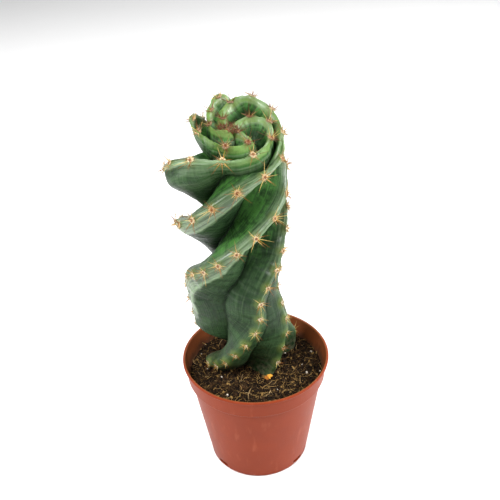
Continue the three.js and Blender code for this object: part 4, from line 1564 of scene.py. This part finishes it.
class MakeArmour(bpy.types.Operator):
    """Grows felt pads, wool and spines on the areoles"""

    bl_idname = "spiral_cactus.make_armour"
    bl_label = "Make areoles and spines"

    def execute(self, context):
        settings = context.scene.cactus_armour
        pad = lump_shape("pad_shape", 3, (2.0, 2.0, 0.85), 0.34, 13)
        add_numbers(pad, "middle", [1 - math.hypot(*vertex.co[:2]) for vertex in pad.data.vertices])
        needle = spine_shape()
        pads = areole_host("areole_pads")
        grow(pads, pad_tree(), shape=pad, pad_size=0.85 * MM, finish=felt(settings))
        pads.data.shade_smooth()
        wool = areole_host("areole_wool")
        grow(
            wool, bristle_tree("areole_wool", False), shape=needle, count=34, length=0.34 * MM,
            thickness=0.00006, lean=1.0, spread=0.95 * MM, seed=40, finish=felt(settings),
        )
        spines = areole_host("spines")
        grow(
            spines, bristle_tree("spines", True), shape=needle, length=MM * settings.length,
            thickness=settings.thickness, lean=1.05, spread=0.5 * MM, seed=60, finish=horn(settings),
        )
        for piece in (pads, wool, spines):
            dress(piece, "cactus_skin", "cactus")
        for shape in (pad, needle):
            delete(shape)
        return {"FINISHED"}


class MakeStage(bpy.types.Operator):
    """Lays a pale floor under soft light and sets the camera"""

    bl_idname = "spiral_cactus.make_stage"
    bl_label = "Make stage"

    def execute(self, context):
        settings = context.scene.cactus_stage
        corners = [(x * FLOOR_HALF, y * FLOOR_HALF, 0) for x, y in ((-1, -1), (1, -1), (1, 1), (-1, 1))]
        floor = new_object("floor", corners, [(0, 1, 2, 3)])
        paint = Paint("floor", Roughness=0.7, Specular_IOR_Level=0.2)
        grain = paint.noise(paint.place, 30, 3, 0.5)
        tint = paint.blend(grain, colour(settings.floor), colour([v * 0.985 for v in settings.floor]))
        floor.data.materials.append(paint.finish(Base_Color=tint))
        self.set_light(context.scene)
        self.set_camera(context.scene, settings)
        return {"FINISHED"}

    def set_light(self, scene):
        world = bpy.data.worlds.new("studio")
        world.use_nodes = True
        background = next(n for n in world.node_tree.nodes if n.type == "BACKGROUND")
        background.inputs["Color"].default_value = (1.0, 1.0, 1.0, 1.0)
        background.inputs["Strength"].default_value = WORLD_STRENGTH
        scene.world = world
        for name, place, size, power in LAMPS:
            lamp = bpy.data.lights.new(name, "AREA")
            lamp.shape = "DISK"
            lamp.size = size
            lamp.energy = power
            obj = linked(name, lamp)
            obj.location = place
            aim = Vector(LAMP_AIM) - Vector(place)
            obj.rotation_euler = aim.to_track_quat("-Z", "Y").to_euler()
        scene.view_settings.view_transform = "Standard"

    def set_camera(self, scene, settings):
        pitch, roll = settings.pitch, settings.roll
        back = Vector((0, -math.cos(pitch), math.sin(pitch)))
        right = Vector((1, 0, 0))
        up = right.cross(-back)
        leaned_right = right * math.cos(roll) + up * math.sin(roll)
        leaned_up = up * math.cos(roll) - right * math.sin(roll)
        aim = Vector((CAMERA_AIM[0] + POT_AXIS_X, 0, CAMERA_AIM[1])) * MM
        camera = bpy.data.cameras.new("camera")
        camera.lens = settings.lens
        camera.sensor_width = 36
        camera.clip_start = 0.01
        obj = linked("camera", camera)
        turn = Matrix((leaned_right, leaned_up, back)).transposed().to_4x4()
        obj.matrix_world = Matrix.Translation(aim + back * settings.distance) @ turn
        scene.camera = obj


class CactusPanel(bpy.types.Panel):
    """Lists the steps and their settings"""

    bl_idname = "VIEW3D_PT_spiral_cactus"
    bl_label = "Spiral cactus"
    bl_space_type = "VIEW_3D"
    bl_region_type = "UI"
    bl_category = "Cactus"

    def draw(self, context):
        for operator, key in STEPS:
            box = self.layout.box()
            box.operator(operator.bl_idname)
            settings = getattr(context.scene, key)
            for name in settings.__annotations__:
                box.prop(settings, name)


SETTINGS = (
    (PotSettings, "cactus_pot"),
    (MixSettings, "cactus_mix"),
    (StemSettings, "cactus_stem"),
    (ArmourSettings, "cactus_armour"),
    (StageSettings, "cactus_stage"),
)
STEPS = (
    (MakePot, "cactus_pot"),
    (MakeMix, "cactus_mix"),
    (MakeStem, "cactus_stem"),
    (MakeArmour, "cactus_armour"),
    (MakeStage, "cactus_stage"),
)


def register():
    for group, key in SETTINGS:
        bpy.utils.register_class(group)
        setattr(bpy.types.Scene, key, PointerProperty(type=group))
    for operator, _ in STEPS:
        bpy.utils.register_class(operator)
    bpy.utils.register_class(CactusPanel)


def unregister():
    bpy.utils.unregister_class(CactusPanel)
    for operator, _ in reversed(STEPS):
        bpy.utils.unregister_class(operator)
    for group, key in reversed(SETTINGS):
        delattr(bpy.types.Scene, key)
        bpy.utils.unregister_class(group)


def main():
    register()
    bpy.ops.spiral_cactus.make_pot()
    bpy.ops.spiral_cactus.make_mix()
    bpy.ops.spiral_cactus.make_stem()
    bpy.ops.spiral_cactus.make_armour()
    bpy.ops.spiral_cactus.make_stage()


if __name__ == "__main__":
    main()
